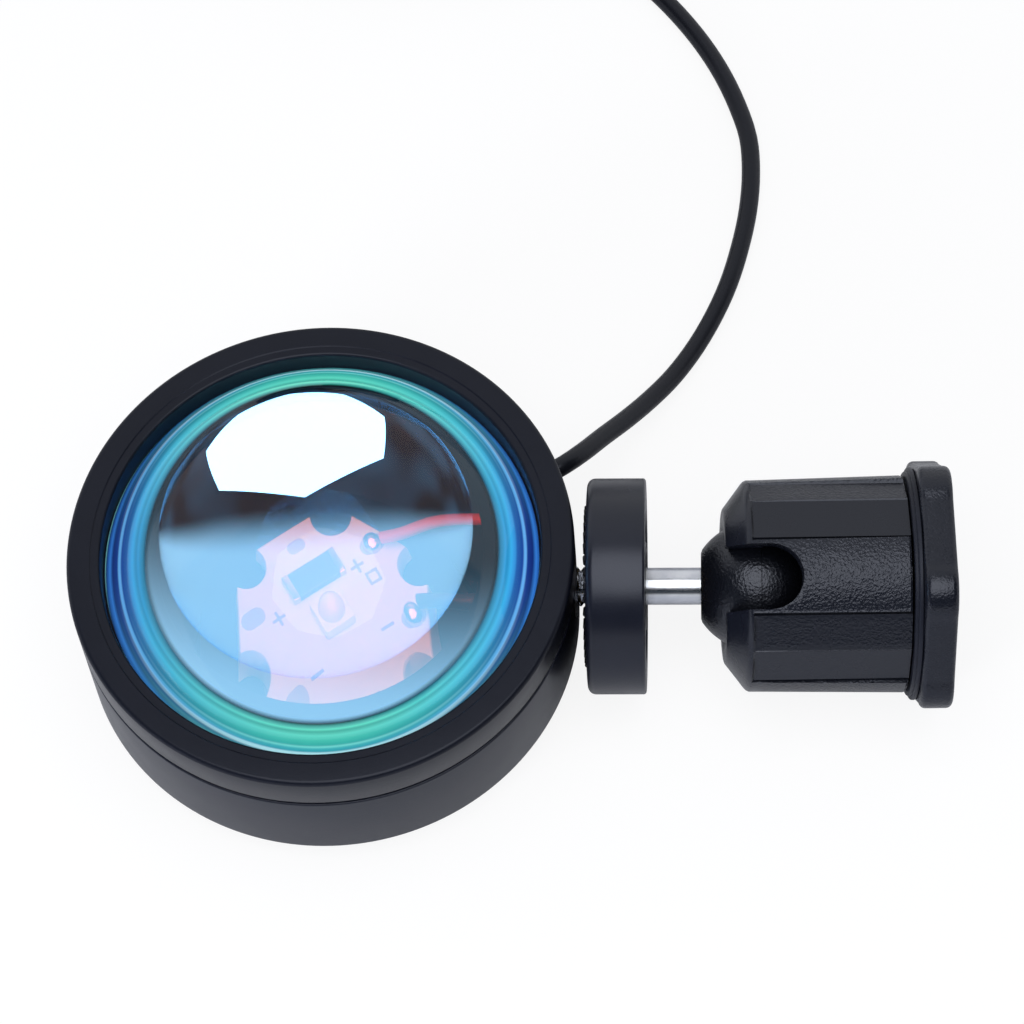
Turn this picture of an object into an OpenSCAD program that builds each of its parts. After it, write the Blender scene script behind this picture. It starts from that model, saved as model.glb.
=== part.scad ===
// Sunset projection lamp: a round lamp head with a domed colour lens, a ball mount with a
// locking disc, and a USB cord with an inline switch. It lies on a table as it is photographed:
// the lens looks up, and the lamp rests on two lobes of the base plate and the back cover's edge.
// Head parts are drawn round the lens axis, with z = 0 on the stud axis and the stud along +X.
// Base parts are drawn round the base axis, with x = 0 at the centre of the ball.

/* [Head] */
// Outer diameter of the lamp head
head_d = 80; // [76:1:100]
// Height of the front bezel
bezel_h = 7.2; // [6.5:0.1:12]
// Width of the shadow groove between bezel and housing
groove_w = 1; // [0.5:0.1:2]
// Height of the rear housing behind the groove
housing_h = 17.4; // [17:0.1:26]
// Distance from the front face down to the stud axis
axis_drop = 14; // [13:0.1:16]
// Wall thickness of the rear housing
wall = 3.7; // [3.2:0.1:4.5]
// Thickness of the housing floor
floor_t = 2; // [1.5:0.1:3]
// Edge round of the bezel and the housing
edge_r = 0.8; // [0.4:0.1:1.2]
// Step from the housing's side in to the back cover's side
cover_step = 4; // [3:0.5:6]
// Height of the back cover behind the housing
cover_h = 3.4; // [3:0.1:5]
// Wall thickness of the back cover
cover_wall = 1.6; // [1.2:0.1:2]

/* [Lens] */
// Width of the bezel's flat rim round the lens
rim_w = 5.3; // [5:0.1:7]
// Radial gap round the lens
lens_gap = 0.4; // [0.2:0.05:0.8]
// Radius of the domed lens face
dome_r = 40; // [38:0.5:60]
// Thickness of the lens at its rim
lens_edge = 2; // [1.5:0.1:3]
// Depth of the lens rim below the front face
lens_recess = 3.5; // [2.5:0.1:4]
// Opening of the baffle behind the lens
baffle_d = 43; // [36:1:56]

/* [Light source] */
// Diameter of the star-shaped circuit board
board_d = 20; // [18:0.5:22]
// Thickness of the circuit board
board_t = 1.6; // [1:0.1:2]
// Height of the board's face below the stud axis
board_drop = 1; // [0.5:0.1:3]
// Diameter of the six notches in the board
notch_d = 4.2; // [3.6:0.1:4.6]
// Turn of the board about the lens axis
board_turn = 32.5; // [0:0.5:60]
// Side of the LED package
led_w = 3.45; // [3:0.05:5]
// Diameter of the heat sink under the board
sink_d = 26; // [22:1:30]
// Thickness of the thermal pad
pad_t = 0.3; // [0.2:0.1:0.5]
// Outer diameter of the two inner wires
wire_d = 1.1; // [0.8:0.1:1.4]

/* [Mount] */
// Major diameter of the quarter-inch tripod thread
thread_d = 6.35; // [6.35:0.01:6.4]
// Pitch of the tripod thread
thread_pitch = 1.27; // [1.27:0.01:1.3]
// Diameter of the smooth part of the stud
stud_d = 5.9; // [5:0.1:6]
// Diameter of the locking disc
disc_d = 34.4; // [30:0.2:38]
// Thickness of the locking disc
disc_t = 9.3; // [8:0.1:11]
// Gap between the head and the locking disc
disc_gap = 1.65; // [1.5:0.05:2.5]
// Height of the teeth on the locking disc
tooth_h = 0.45; // [0.2:0.05:0.6]
// Number of teeth on the locking disc
teeth = 36; // [24:1:48]
// Distance from the head's axis to the ball's centre
reach = 68.3; // [68.2:0.1:74]
// Diameter of the ball
ball_d = 20.5; // [19:0.1:20.6]
// Diameter of the flat on the ball
flat_d = 11; // [9:0.2:12]
// Gap between the ball and its socket
socket_gap = 0.2; // [0.1:0.05:0.3]
// Running clearance between turning parts
run_gap = 0.05; // [0.02:0.01:0.1]

/* [Locking sleeve] */
// Diameter of the sleeve at its mouth
sleeve_d1 = 33.6; // [33.4:0.1:34.2]
// Diameter of the sleeve at its base end
sleeve_d2 = 34.5; // [34.2:0.1:36]
// Distance from the ball's centre to the sleeve's mouth
mouth_x = 5.2; // [4.6:0.1:5.6]
// Distance from the ball's centre to the sleeve's base end
sleeve_x = 23.4; // [23:0.1:30]
// Width of the notch that lets the stud fold over
slot_w = 10.3; // [8:0.1:11]
// Distance from the ball's centre to the notch's round centre
slot_x = 1.45; // [1:0.05:3]
// Bore of the sleeve round the post
bore_d = 24.6; // [23.5:0.1:26]
// Angle of the notch from straight up, towards the viewer
slot_turn = 20; // [0:1:60]

/* [Base] */
// Thickness of the six-lobed base plate
plate_t = 5.2; // [5:0.1:8]
// Distance from the base axis to the centre of a lobe
lobe_x = 15; // [14:0.1:18]
// Radius of a lobe
lobe_r = 6.1; // [5.5:0.1:8]
// Edge round of the base plate
plate_edge = 1; // [0.5:0.1:1.5]
// Diameter of the collar washer
collar_d = 37; // [32:0.2:38]
// Thickness of the collar washer
collar_t = 1.3; // [1:0.1:2]
// Depth of the tripod socket in the base
socket_depth = 10; // [8:0.5:12]
// Thickness of the rubber foot pad
foot_t = 1; // [0.8:0.1:1.5]

/* [Cord] */
// Diameter of the cord
cord_d = 3.2; // [2.8:0.1:3.6]
// Angle of the cord outlet round the head
outlet_turn = 32.5; // [20:0.5:60]
// Height of the cord outlet below the stud axis
outlet_drop = 4; // [1:0.5:4.5]
// Radius of the coil at the middle of its turns
coil_r = 17.6; // [16:0.1:20]
// Number of layers in the coil
coil_layers = 4; // [2:2:4]
// Turns in each layer of the coil
layer_turns = 2.875; // [2.875:1:3.875]
// Distance between neighbouring turns, centre to centre
coil_pitch = 3.8; // [3.7:0.05:4.2]

/* [Switch and plug] */
// Length of the inline switch
switch_l = 42; // [36:1:50]
// Width of the inline switch
switch_w = 17; // [15:1:20]
// Height of the inline switch
switch_h = 11; // [10:0.5:13]
// Travel of the switch button
button_travel = 1.2; // [0.8:0.1:1.5]
// Length of the plug's handle
plug_l = 22; // [18:1:26]
// Width of the plug's handle
plug_w = 15.6; // [14:0.2:17]
// Thickness of the plug's handle
plug_h = 8; // [7:0.2:10]
// Length of the plug's metal shell outside the handle
shell_l = 14; // [12:0.5:15]

/* [Hidden] */
$fn = 96;
eps = 0.02;                 // lets a cut run past the face that it opens
seat_gap = 0.02;            // gap between two still parts that seat on each other

// Head: heights on the lens axis, from the stud axis
head_r = head_d / 2;
front_z = axis_drop;
bezel_z = front_z - bezel_h;
housing_z = bezel_z - groove_w;
rear_z = housing_z - housing_h;
back_z = rear_z - cover_h;
floor_z = rear_z + floor_t;
inner_r = head_r - wall;
cover_r = head_r - cover_step;
cover_edge = 1;             // edge round of the back cover
groove_depth = 0.8;
spigot_t = 1.2;             // wall of the housing's spigot inside the bezel
spigot_r = inner_r + spigot_t;
spigot_z = front_z - 2.4;
fit = 0.3;                  // gap between two housing shells that slide together

// Lens
aperture_r = head_r - rim_w;
lens_r = aperture_r - lens_gap;
rim_z = front_z - lens_recess;
lens_z = rim_z - lens_edge;
dome_h = dome_r - sqrt(dome_r * dome_r - lens_r * lens_r);
gasket_t = 0.3;
baffle_t = 0.9;
baffle_z = lens_z - gasket_t - baffle_t;
ledge_w = 3.7;              // width of the ledge that carries the baffle and the lens

// Light source
board_z = -board_drop;
board_r = board_d / 2;
pad_z = board_z - board_t - pad_t;
sink_r = sink_d / 2;
plate_r = cover_r - cover_wall - 2;
heat_t = 1.5;
heat_z = rear_z - seat_gap - heat_t;
led_h = 0.7;
package_z = board_z + seat_gap;
pads = [[7, 4], [7, -4], [-7, 4], [-7, -4]];

// Stud, locking disc and ball, along the stud axis
thread_r = thread_d / 2;
disc_x1 = head_r + disc_gap;
disc_x2 = disc_x1 + disc_t;
disc_r = disc_d / 2;
insert_r = 5.5;
side_insert_r = 5;
stud_x1 = head_r - 7.5;      // the stud's end inside the head
stud_x2 = reach + 3;
ball_r = ball_d / 2;
flat_x = sqrt(ball_r * ball_r - pow(flat_d / 2, 2));
tooth_r1 = 10.4;
tooth_r2 = 13;

// Sleeve and base, along the base axis
socket_r = ball_r + socket_gap;
mouth_r = sqrt(socket_r * socket_r - mouth_x * mouth_x);
shoulder_x = 1.7;           // where the sleeve reaches its full diameter, before the centre
rim_r = mouth_r + 2.9;
seat_x = 6.9;
post_r = bore_d / 2 - 0.3;
post_x = 12.4;
collar_x = sleeve_x + 0.3;
plate_x1 = collar_x + collar_t;
plate_x2 = plate_x1 + plate_t;
base_insert_r = 6;
foot_r1 = base_insert_r + 2;
foot_r2 = lobe_x - 1;
slot_r = slot_w / 2;

// How the lamp lies: the base plate stands on two lobes, and the head leans on its back cover
axis_h = lobe_x * cos(30) + lobe_r;
lean_x = reach + cover_r - cover_edge;
lean_z = -back_z - cover_edge;
rest_tilt = atan2(lean_x, lean_z) - acos((axis_h - cover_edge) / norm([lean_x, lean_z]));
rest_swing = -1.8;
head_left = (head_r + reach) * cos(rest_tilt) * cos(rest_swing) + (front_z - edge_r) * sin(rest_tilt);
ball_pos = [(head_left - plate_x2) / 2, reach * cos(rest_tilt) * sin(rest_swing), axis_h];
echo(ball_pos = ball_pos, rest_tilt = rest_tilt);

// Cord: the route's points on the table, chosen by hand, in millimetres
cord_r = cord_d / 2;
cord_fit = 0.05;            // gap round the cord where something grips it
lead_route = [[12.4, 25.7, 12.3], [15.8, 29.8, 9.8], [19.9, 34.5, 7],
    [24, 39.4, 4.6], [28.2, 44.8, 2.8], [32.2, 50.9, 1.9], [35.5, 57, 1.7], [38.1, 63, 1.7],
    [40.3, 70, 1.7], [42, 77.5, 1.7], [42.8, 85, 1.7], [42.6, 92, 1.7], [41, 98.5, 1.7],
    [38.6, 105, 1.7], [35.3, 111.5, 1.7], [31, 118, 1.7], [26, 124, 1.8], [20, 129.5, 2.6],
    [14, 133.5, 4]];
switch_pos = [-14, 136, 0];
switch_axis_h = 5.5;
coil_lift = 0.9;            // the coil lies on its strap
coil_center = [-54, 136 + coil_r + coil_pitch * layer_turns / 2, 0];
coil_z = coil_lift + cord_r;
coil_half = coil_pitch * layer_turns / 2;
coil_turns = coil_layers * layer_turns;
link_route = [[-41, 136, 4.6], [-47, 136, 3]];
plug_pos = [8, coil_center[1] + coil_r + coil_half, plug_h / 2];
tail_route = [[-46, 0, -0.6], [-38, 0, -2.6], [-30, 0, -5.6], [-23, 0, -8.2]];

// Points of an arc from angle a0 to a1 round c
function arc(c, r, a0, a1, n = 8) =
    [for (i = [0 : n]) let (a = a0 + (a1 - a0) * i / n) c + r * [cos(a), sin(a)]];

// A section [[radius, height], ...] turned round the lens axis
module turned(section) rotate_extrude() polygon(section);

// A section [[distance along +X, radius], ...] turned round the X axis
module turned_x(section) rotate([0, 90, 0]) rotate_extrude() polygon([for (p = section) [p[1], p[0]]]);

// A rod of radius r along +X, from x1 to x2
module rod_x(r, x1, x2) translate([x1, 0, 0]) rotate([0, 90, 0]) cylinder(r = r, h = x2 - x1);

// The head group, leaning on its back cover, and the base group, lying flat
module in_head() translate(ball_pos) rotate([0, -rest_tilt, rest_swing])
    translate([-reach, 0, 0]) children();
module in_base() translate(ball_pos) children();

// A tube of radius r with n sides swept along points, square to its path, with end faces
function tangent(p, i) = let (a = p[max(i - 1, 0)], b = p[min(i + 1, len(p) - 1)]) (b - a) / norm(b - a);
function ring(c, t, r, n) = let (s = cross([0, 0, 1], t), u = s / norm(s), v = cross(t, u))
    [for (k = [0 : n - 1]) c + r * (cos(360 * k / n) * u + sin(360 * k / n) * v)];
module tube(path, r, n) {
    rings = [for (i = [0 : len(path) - 1]) each ring(path[i], tangent(path, i), r, n)];
    last = (len(path) - 1) * n;
    sides = [for (i = [0 : len(path) - 2], k = [0 : n - 1]) let (a = i * n + k, b = i * n + (k + 1) % n)
        each [[a, b, b + n], [a, b + n, a + n]]];
    ends = [[for (k = [0 : n - 1]) n - 1 - k], [for (k = [0 : n - 1]) last + k]];
    polyhedron(points = rings,
        faces = [for (f = concat(sides, ends)) [for (j = [len(f) - 1 : -1 : 0]) f[j]]]);
}

// ---------------------------------------------------------------- head shells

module front_bezel() color("#202124") in_head() turned(concat(
    [[aperture_r - ledge_w, baffle_z - 1.2], [inner_r - fit, baffle_z - 1.2],
        [inner_r - fit, spigot_z + fit], [spigot_r + fit, spigot_z + fit],
        [spigot_r + fit, bezel_z], [head_r, bezel_z]],
    arc([head_r - edge_r, front_z - edge_r], edge_r, 0, 90),
    arc([aperture_r + 0.2, front_z - 0.2], 0.2, 90, 180, 3),
    [[aperture_r, baffle_z - seat_gap], [aperture_r - ledge_w, baffle_z - seat_gap]]));

module lens() color("#49c4c8", 0.6) in_head() turned(concat(
    [[0, lens_z], [lens_r - 0.3, lens_z], [lens_r, lens_z + 0.3], [lens_r, rim_z]],
    arc([0, rim_z + dome_h - dome_r], dome_r, asin((dome_r - dome_h) / dome_r), 90, 24)));

module lens_gasket() color("#151515") in_head() translate([0, 0, lens_z - gasket_t + seat_gap / 2])
    difference() {
        cylinder(r = lens_r - 0.4, h = gasket_t - seat_gap);
        translate([0, 0, -1]) cylinder(r = aperture_r - ledge_w + 1, h = gasket_t + 2);
    }

module light_baffle() color("#191a1c") in_head() difference() {
    translate([0, 0, baffle_z]) cylinder(r = aperture_r - lens_gap, h = baffle_t);
    translate([0, 0, baffle_z - 1]) cylinder(d = baffle_d, h = baffle_t + 2);
}

module rear_housing() color("#232427") in_head() difference() {
    union() {
        turned(concat(
            [[inner_r, spigot_z], [inner_r, floor_z], [sink_r + fit, floor_z],
                [sink_r + fit, rear_z]],
            arc([head_r - edge_r, rear_z + edge_r], edge_r, -90, 0),
            [[head_r, housing_z - 0.4], [head_r - 0.4, housing_z], [head_r - groove_depth, housing_z],
                [head_r - groove_depth, bezel_z - seat_gap], [spigot_r, bezel_z - seat_gap],
                [spigot_r, spigot_z]]));
        // boss for the threaded insert
        intersection() {
            rod_x(side_insert_r + 2.5, head_r - boss_l, head_r - wall / 2);
            translate([0, 0, rear_z + 1]) cylinder(r = inner_r + 0.5, h = bezel_z - rear_z - 2);
        }
        // posts for the cover screws
        at_screws() translate([0, 0, rear_z + 1]) cylinder(r = post_screw_r, h = housing_post_h);
    }
    rod_x(side_insert_r, head_r - boss_l - 3, head_r + 2);
    rotate([0, 0, outlet_turn]) translate([0, 0, -outlet_drop])
        rod_x(cord_r + 1, inner_r - 2, head_r + 2);
    at_screws() translate([0, 0, rear_z - 1]) cylinder(r = screw_r, h = screw_l);
}

boss_l = 9;                 // length of the boss round the threaded insert
screw_r = 1.3;              // the three cover screws
screw_l = 9;
screw_head_r = 2.65;
post_screw_r = 3;           // posts that the screws run in
housing_post_h = 6;
screw_ring_r = cover_r - cover_wall - post_screw_r - 0.6;
module at_screws() for (a = [60, 180, 300]) rotate([0, 0, a]) translate([screw_ring_r, 0, 0]) children();

module back_cover() color("#1d1e20") in_head() difference() {
    union() {
        difference() {
            turned(concat([[0, back_z]],
                arc([cover_r - cover_edge, back_z + cover_edge], cover_edge, -90, 0),
                [[cover_r, rear_z - seat_gap], [0, rear_z - seat_gap]]));
            translate([0, 0, back_z + cover_wall]) cylinder(r = cover_r - cover_wall, h = cover_h);
        }
        at_screws() translate([0, 0, back_z + 1])
            cylinder(r = post_screw_r, h = cover_h - 1 - seat_gap);
    }
    at_screws() {
        translate([0, 0, back_z - 1]) cylinder(r = screw_r + 0.2, h = cover_h + 2);
        translate([0, 0, back_z - eps])
            cylinder(r1 = screw_head_r + 0.15, r2 = screw_r + 0.2, h = 1.5);
    }
}

module cover_screws() color("#8f9195") in_head() at_screws() difference() {
    union() {
        translate([0, 0, back_z + 0.1]) cylinder(r1 = screw_head_r, r2 = screw_r - seat_gap, h = 1.4);
        translate([0, 0, back_z + 1.4]) cylinder(r = screw_r - seat_gap, h = screw_l);
    }
    for (a = [0, 90]) rotate([0, 0, a]) translate([-1.5, -0.3, back_z]) cube([3, 0.6, 0.9]);
}

// ---------------------------------------------------------------- light source

module heat_plate() color("#2a2b2e") in_head() difference() {
    translate([0, 0, heat_z]) cylinder(r = plate_r, h = heat_t);
    at_screws() translate([0, 0, heat_z - 1]) cylinder(r = post_screw_r + 0.4, h = heat_t + 2);
}

module heat_sink() color("#2a2b2e") in_head() difference() {
    translate([0, 0, rear_z]) cylinder(r = sink_r, h = pad_z - rear_z);
    for (z = [floor_z + 1.2 : 1.8 : pad_z - 2]) translate([0, 0, z]) difference() {
        cylinder(r = sink_r + 1, h = 0.9);
        translate([0, 0, -1]) cylinder(r = sink_r - 3, h = 3);
    }
}

module thermal_pad() color("#9a9da3") in_head() translate([0, 0, pad_z])
    cylinder(r = board_r - notch_d / 2, h = pad_t);

module star_board() color("#e8b9a4") in_head() rotate([0, 0, board_turn])
    translate([0, 0, board_z - board_t]) difference() {
        intersection() {
            cylinder(r = board_r, h = board_t);
            cylinder(r = board_r * 1.104, h = board_t, $fn = 6);
        }
        for (a = [0 : 60 : 300]) rotate([0, 0, a]) translate([board_r, 0, -1])
            cylinder(d = notch_d, h = board_t + 2);
    }

module led_package() color("#f1efe6") in_head() rotate([0, 0, board_turn])
    translate([-led_w / 2, -led_w / 2, package_z]) cube([led_w, led_w, led_h]);

module led_dome() color("#f3e39a", 0.8) in_head() translate([0, 0, package_z + led_h + seat_gap])
    turned(concat([[0, 0]], arc([0, 0], led_w * 0.4, 0, 90)));

module resistor() color("#1b1c1e") in_head() rotate([0, 0, board_turn])
    translate([0.3 - 3.05, 4.1 - 1.35, package_z]) cube([6.1, 2.7, 0.6]);

module solder_joints() color("#c9ccd0") in_head() rotate([0, 0, board_turn])
    for (i = [0, 1]) translate([pads[i][0], pads[i][1], package_z])
        turned(concat([[0, 0]], arc([0, 0], 1, 0, 90)));

// The two wires start beside the solder joints and end at the cut end of the cord
function board_point(p, h) = [p[0] * cos(board_turn) - p[1] * sin(board_turn),
    p[0] * sin(board_turn) + p[1] * cos(board_turn), board_z + h];
wire_r = wire_d / 2;
cord_end_r = inner_r - 6.8;
function outlet_point(r, dy, dz) = [r * cos(outlet_turn) - dy * sin(outlet_turn),
    r * sin(outlet_turn) + dy * cos(outlet_turn), dz - outlet_drop];
red_start = board_point(pads[0] + [1, -0.5], wire_r + 0.3);
black_start = board_point(pads[1] + [1.1, 0.1], wire_r + 0.3);
red_route = [red_start, red_start + [2, 0.3, 0.3], [11, 8.7, 0.8], [16, 9.5, 0.8], [21, 11, -0.6],
    outlet_point(cord_end_r - 1, 0.75, 0), outlet_point(cord_end_r - eps, 0.75, 0)];
black_route = [black_start, black_start + [2, 0, 0.3], [15, 1.6, 0], [19, 5, -1], [22.5, 9.5, -2.6],
    outlet_point(cord_end_r - 1, -0.75, 0), outlet_point(cord_end_r - eps, -0.75, 0)];
module red_wire() color("#c8201c") in_head() tube(red_route, wire_r, 8);
module black_wire() color("#18181a") in_head() tube(black_route, wire_r, 8);

// ---------------------------------------------------------------- stud mount

module side_insert() color("#c9a24b") in_head() difference() {
    rod_x(side_insert_r - seat_gap, head_r - boss_l + 0.5, head_r - 0.6);
    rod_x(thread_r + run_gap, head_r - boss_l - 1, head_r);
}

// A rod with ring-shaped thread crests, from x1 to x2
module thread_x(x1, x2) turned_x(concat([[x1, 0], [x1, thread_r - 0.7]],
    [for (x = [x1 + 0.3 : thread_pitch : x2 - thread_pitch]) each
        [[x, thread_r - 0.7], [x + thread_pitch * 0.44, thread_r], [x + thread_pitch * 0.56, thread_r]]],
    [[x2, thread_r - 0.7], [x2, 0]]));

module threaded_stud() color("#d5d8db") in_head() union() {
    thread_x(stud_x1, disc_x2 - 0.5);
    rod_x(stud_d / 2, disc_x2 - 0.7, stud_x2);
}

module ball() color("#1a1b1c") in_head() difference() {
    translate([reach, 0, 0]) sphere(r = ball_r);
    rod_x(ball_r + 1, reach - ball_r - 1, reach - flat_x);
    rod_x(stud_d / 2 + seat_gap, reach - ball_r, stud_x2 + seat_gap);
}

module disc_insert() color("#c9a24b") in_head() difference() {
    rod_x(insert_r, disc_x1 + 0.3, disc_x2 - 0.3);
    rod_x(thread_r + run_gap, disc_x1, disc_x2);
}

module locking_disc() color("#1f2022") in_head() difference() {
    turned_x(concat([[disc_x1, 0], [disc_x1, disc_r - 1.6]],
        [for (p = arc([0, 0], 1.3, 180, 90)) [disc_x1 + 1.3 + p[0], disc_r - 1.6 + p[1]]],
        [[disc_x2 - 0.4, disc_r], [disc_x2, disc_r - 0.4], [disc_x2, 0]]));
    rod_x(insert_r + run_gap, disc_x1 - 1, disc_x2 + 1);
    // seat for the toothed ring
    rotate([0, 90, 0]) translate([0, 0, disc_x1 - 1]) difference() {
        cylinder(r = tooth_r2 + seat_gap, h = 1.8);
        translate([0, 0, -1]) cylinder(r = tooth_r1 - seat_gap, h = 4);
    }
}

module friction_ring() color("#17181a") in_head() union() {
    difference() {
        rod_x(tooth_r2, disc_x1, disc_x1 + 0.8 - seat_gap);
        rod_x(tooth_r1, disc_x1 - 1, disc_x1 + 2);
    }
    for (i = [0 : teeth - 1]) rotate([360 * (i + 0.5) / teeth, 0, 0])
        translate([disc_x1 - tooth_h, tooth_r1 + 0.1, -0.5])
            cube([tooth_h + 0.2, tooth_r2 - tooth_r1 - 0.25, 1]);
}

// ---------------------------------------------------------------- sleeve and base

// Outline of the sleeve across its axis: four round grip panels, which the outline leaves to the
// turned shape, with a groove beside each and flat facets between them
panel_a = 20.8;             // half the angle of a grip panel
facet_a = 40;               // where the two facets beside it meet
facet_x = -shoulder_x + 0.4; // where the facets begin, past a round shoulder
function sleeve_quarter(r, a) =
    [for (p = [[1 - panel_a, 2], [panel_a - 1, 2], [panel_a - 0.9, -0.6], [panel_a + 0.6, -0.6],
        [panel_a + 0.7, -0.2], [facet_a, -0.15], [90 - facet_a, -0.15], [89.3 - panel_a, -0.2],
        [89.4 - panel_a, -0.6], [90.9 - panel_a, -0.6]])
        (r + p[1]) * [cos(a + p[0]), sin(a + p[0])]];

module sleeve_outline(r) polygon([for (a = [0 : 90 : 270]) each sleeve_quarter(r, a)]);

module locking_sleeve() color("#1d1e20") in_base() rotate([slot_turn, 0, 0]) difference() {
    intersection() {
        turned_x([[-mouth_x, 0], [-mouth_x, rim_r], [-mouth_x + 0.5, rim_r + 0.9],
            [-shoulder_x - 0.7, sleeve_d1 / 2 - 0.9], [-shoulder_x + 0.3, sleeve_d1 / 2],
            [sleeve_x - 0.4, sleeve_d2 / 2], [sleeve_x, sleeve_d2 / 2 - 0.4], [sleeve_x, 0]]);
        union() {
            rod_x(sleeve_d2, -mouth_x - 1, facet_x);
            translate([facet_x - 0.1, 0, 0]) rotate([90, 0, 90])
                linear_extrude(sleeve_x - facet_x + 1) sleeve_outline(sleeve_d1 / 2);
        }
    }
    sphere(r = socket_r);
    rod_x(bore_d / 2, 0.6, sleeve_x + 1);
    turned_x([[-mouth_x - 1, 0], [-mouth_x - 1, mouth_r + 1.2], [-mouth_x + 0.6, mouth_r - 0.4],
        [-mouth_x + 0.6, 0]]);
    // the notch, open at the mouth
    translate([slot_x, 0, 0]) cylinder(r = slot_r, h = sleeve_d2);
    translate([-mouth_x - 1, -slot_r, 0]) cube([mouth_x + 1 + slot_x, slot_w, sleeve_d2]);
}

module ball_seat() color("#1a1a1c") in_base() difference() {
    rod_x(post_r, seat_x, post_x - seat_gap);
    sphere(r = socket_r);
    rod_x(4, 0, post_x);
}

module base_profile(inset) {
    for (a = [0 : 60 : 300]) rotate(a + 30) translate([lobe_x, 0]) circle(r = lobe_r - inset);
    // the long flats between two lobes lie just inside the line that the lobes stand on
    intersection() {
        rotate(30) circle(r = (axis_h - 0.2 - inset) / cos(30), $fn = 6);
        circle(r = lobe_x + lobe_r - 0.8 - inset, $fn = 180);
    }
}

module plate_layer(x1, x2, inset) translate([x1, 0, 0]) rotate([90, 0, 90])
    linear_extrude(x2 - x1) rotate(90) base_profile(inset);

module base_plate() color("#1c1d1f") in_base() difference() {
    union() {
        plate_layer(plate_x1, plate_x1 + plate_edge * 0.35, plate_edge * 0.65);
        plate_layer(plate_x1 + plate_edge * 0.35, plate_x1 + plate_edge, plate_edge * 0.2);
        plate_layer(plate_x1 + plate_edge, plate_x2 - plate_edge, 0);
        plate_layer(plate_x2 - plate_edge, plate_x2 - plate_edge * 0.35, plate_edge * 0.2);
        plate_layer(plate_x2 - plate_edge * 0.35, plate_x2, plate_edge * 0.65);
        turned_x(concat([[post_x, 0], [post_x, post_r - 0.8]],
            [for (x = [post_x : 2 : plate_x1 - 2.5]) each
                [[x + 0.2, post_r - 0.8], [x + 0.9, post_r], [x + 1.3, post_r], [x + 2, post_r - 0.8]]],
            [[plate_x1 + 1, post_r - 0.8], [plate_x1 + 1, 0]]));
    }
    rod_x(base_insert_r, plate_x2 - socket_depth - 1, plate_x2 + 1);
    rotate([0, 90, 0]) translate([0, 0, plate_x2 - foot_t]) difference() {
        cylinder(r = foot_r2, h = foot_t + 1);
        translate([0, 0, -1]) cylinder(r = foot_r1, h = foot_t + 3);
    }
}

module collar_washer() color("#151618") in_base() difference() {
    rod_x(collar_d / 2, collar_x, plate_x1 - seat_gap);
    rod_x(post_r + 0.2, collar_x - 1, plate_x1 + 1);
}

module base_insert() color("#c9a24b") in_base() difference() {
    rod_x(base_insert_r - seat_gap, plate_x2 - socket_depth - 0.8, plate_x2);
    rod_x(thread_r + run_gap, plate_x2 - socket_depth, plate_x2 + 1);
}

module foot_pad() color("#101112") in_base() difference() {
    rod_x(foot_r2 - seat_gap, plate_x2 - foot_t + seat_gap, plate_x2);
    rod_x(foot_r1 + seat_gap, plate_x2 - foot_t - 1, plate_x2 + 1);
}

// ---------------------------------------------------------------- cord

module cord_grommet() color("#121314") in_head() rotate([0, 0, outlet_turn]) translate([0, 0, -outlet_drop])
    difference() {
        union() {
            rod_x(cord_r + 1 - seat_gap, inner_r - 1.2, head_r + 0.1);
            rod_x(cord_r + 1.8, head_r + 0.02, head_r + 1.2);
            rod_x(cord_r + 1.8, inner_r - 1.3, inner_r - 0.25);
        }
        rod_x(cord_r + cord_fit, inner_r - 2, head_r + 2);
    }

module cord_tie() color("#e9e9e6") in_head() rotate([0, 0, outlet_turn]) translate([0, 0, -outlet_drop])
    difference() {
        union() {
            rod_x(cord_r + 0.9, inner_r - 4.5, inner_r - 2);
            translate([inner_r - 4.7, -1.8, cord_r + cord_fit]) cube([3, 3.6, 2.6]);
        }
        rod_x(cord_r + cord_fit, inner_r - 6, inner_r);
    }

// A point of the head group in the lamp's own frame
function turn_y(p, a) = [p[0] * cos(a) + p[2] * sin(a), p[1], -p[0] * sin(a) + p[2] * cos(a)];
function turn_z(p, a) = [p[0] * cos(a) - p[1] * sin(a), p[0] * sin(a) + p[1] * cos(a), p[2]];
function from_head(p) = ball_pos + turn_z(turn_y(p - [reach, 0, 0], -rest_tilt), rest_swing);

lead_start = [for (r = [cord_end_r, head_r - 4, head_r + 1.3, head_r + 4.4])
    from_head(outlet_point(r, 0, 0))];
switch_in = switch_pos + [switch_l / 2, 0, switch_axis_h];
switch_out = switch_pos + [-switch_l / 2, 0, switch_axis_h];
module cord_lead() color("#121314") tube(concat(lead_start, lead_route,
    [switch_in + [cord_d + 0.5, 0, 0], switch_in + [0.3, 0, 0], switch_in - [5, 0, 0]]), cord_r, 8);

module cord_link() color("#121314") tube(concat(
    [switch_out + [5, 0, 0], switch_out - [0.3, 0, 0], switch_out - [cord_d + 0.5, 0, 0]], link_route,
    [coil_point(0) + [cord_d, 0, 0], coil_point(0)]), cord_r, 8);

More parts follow.
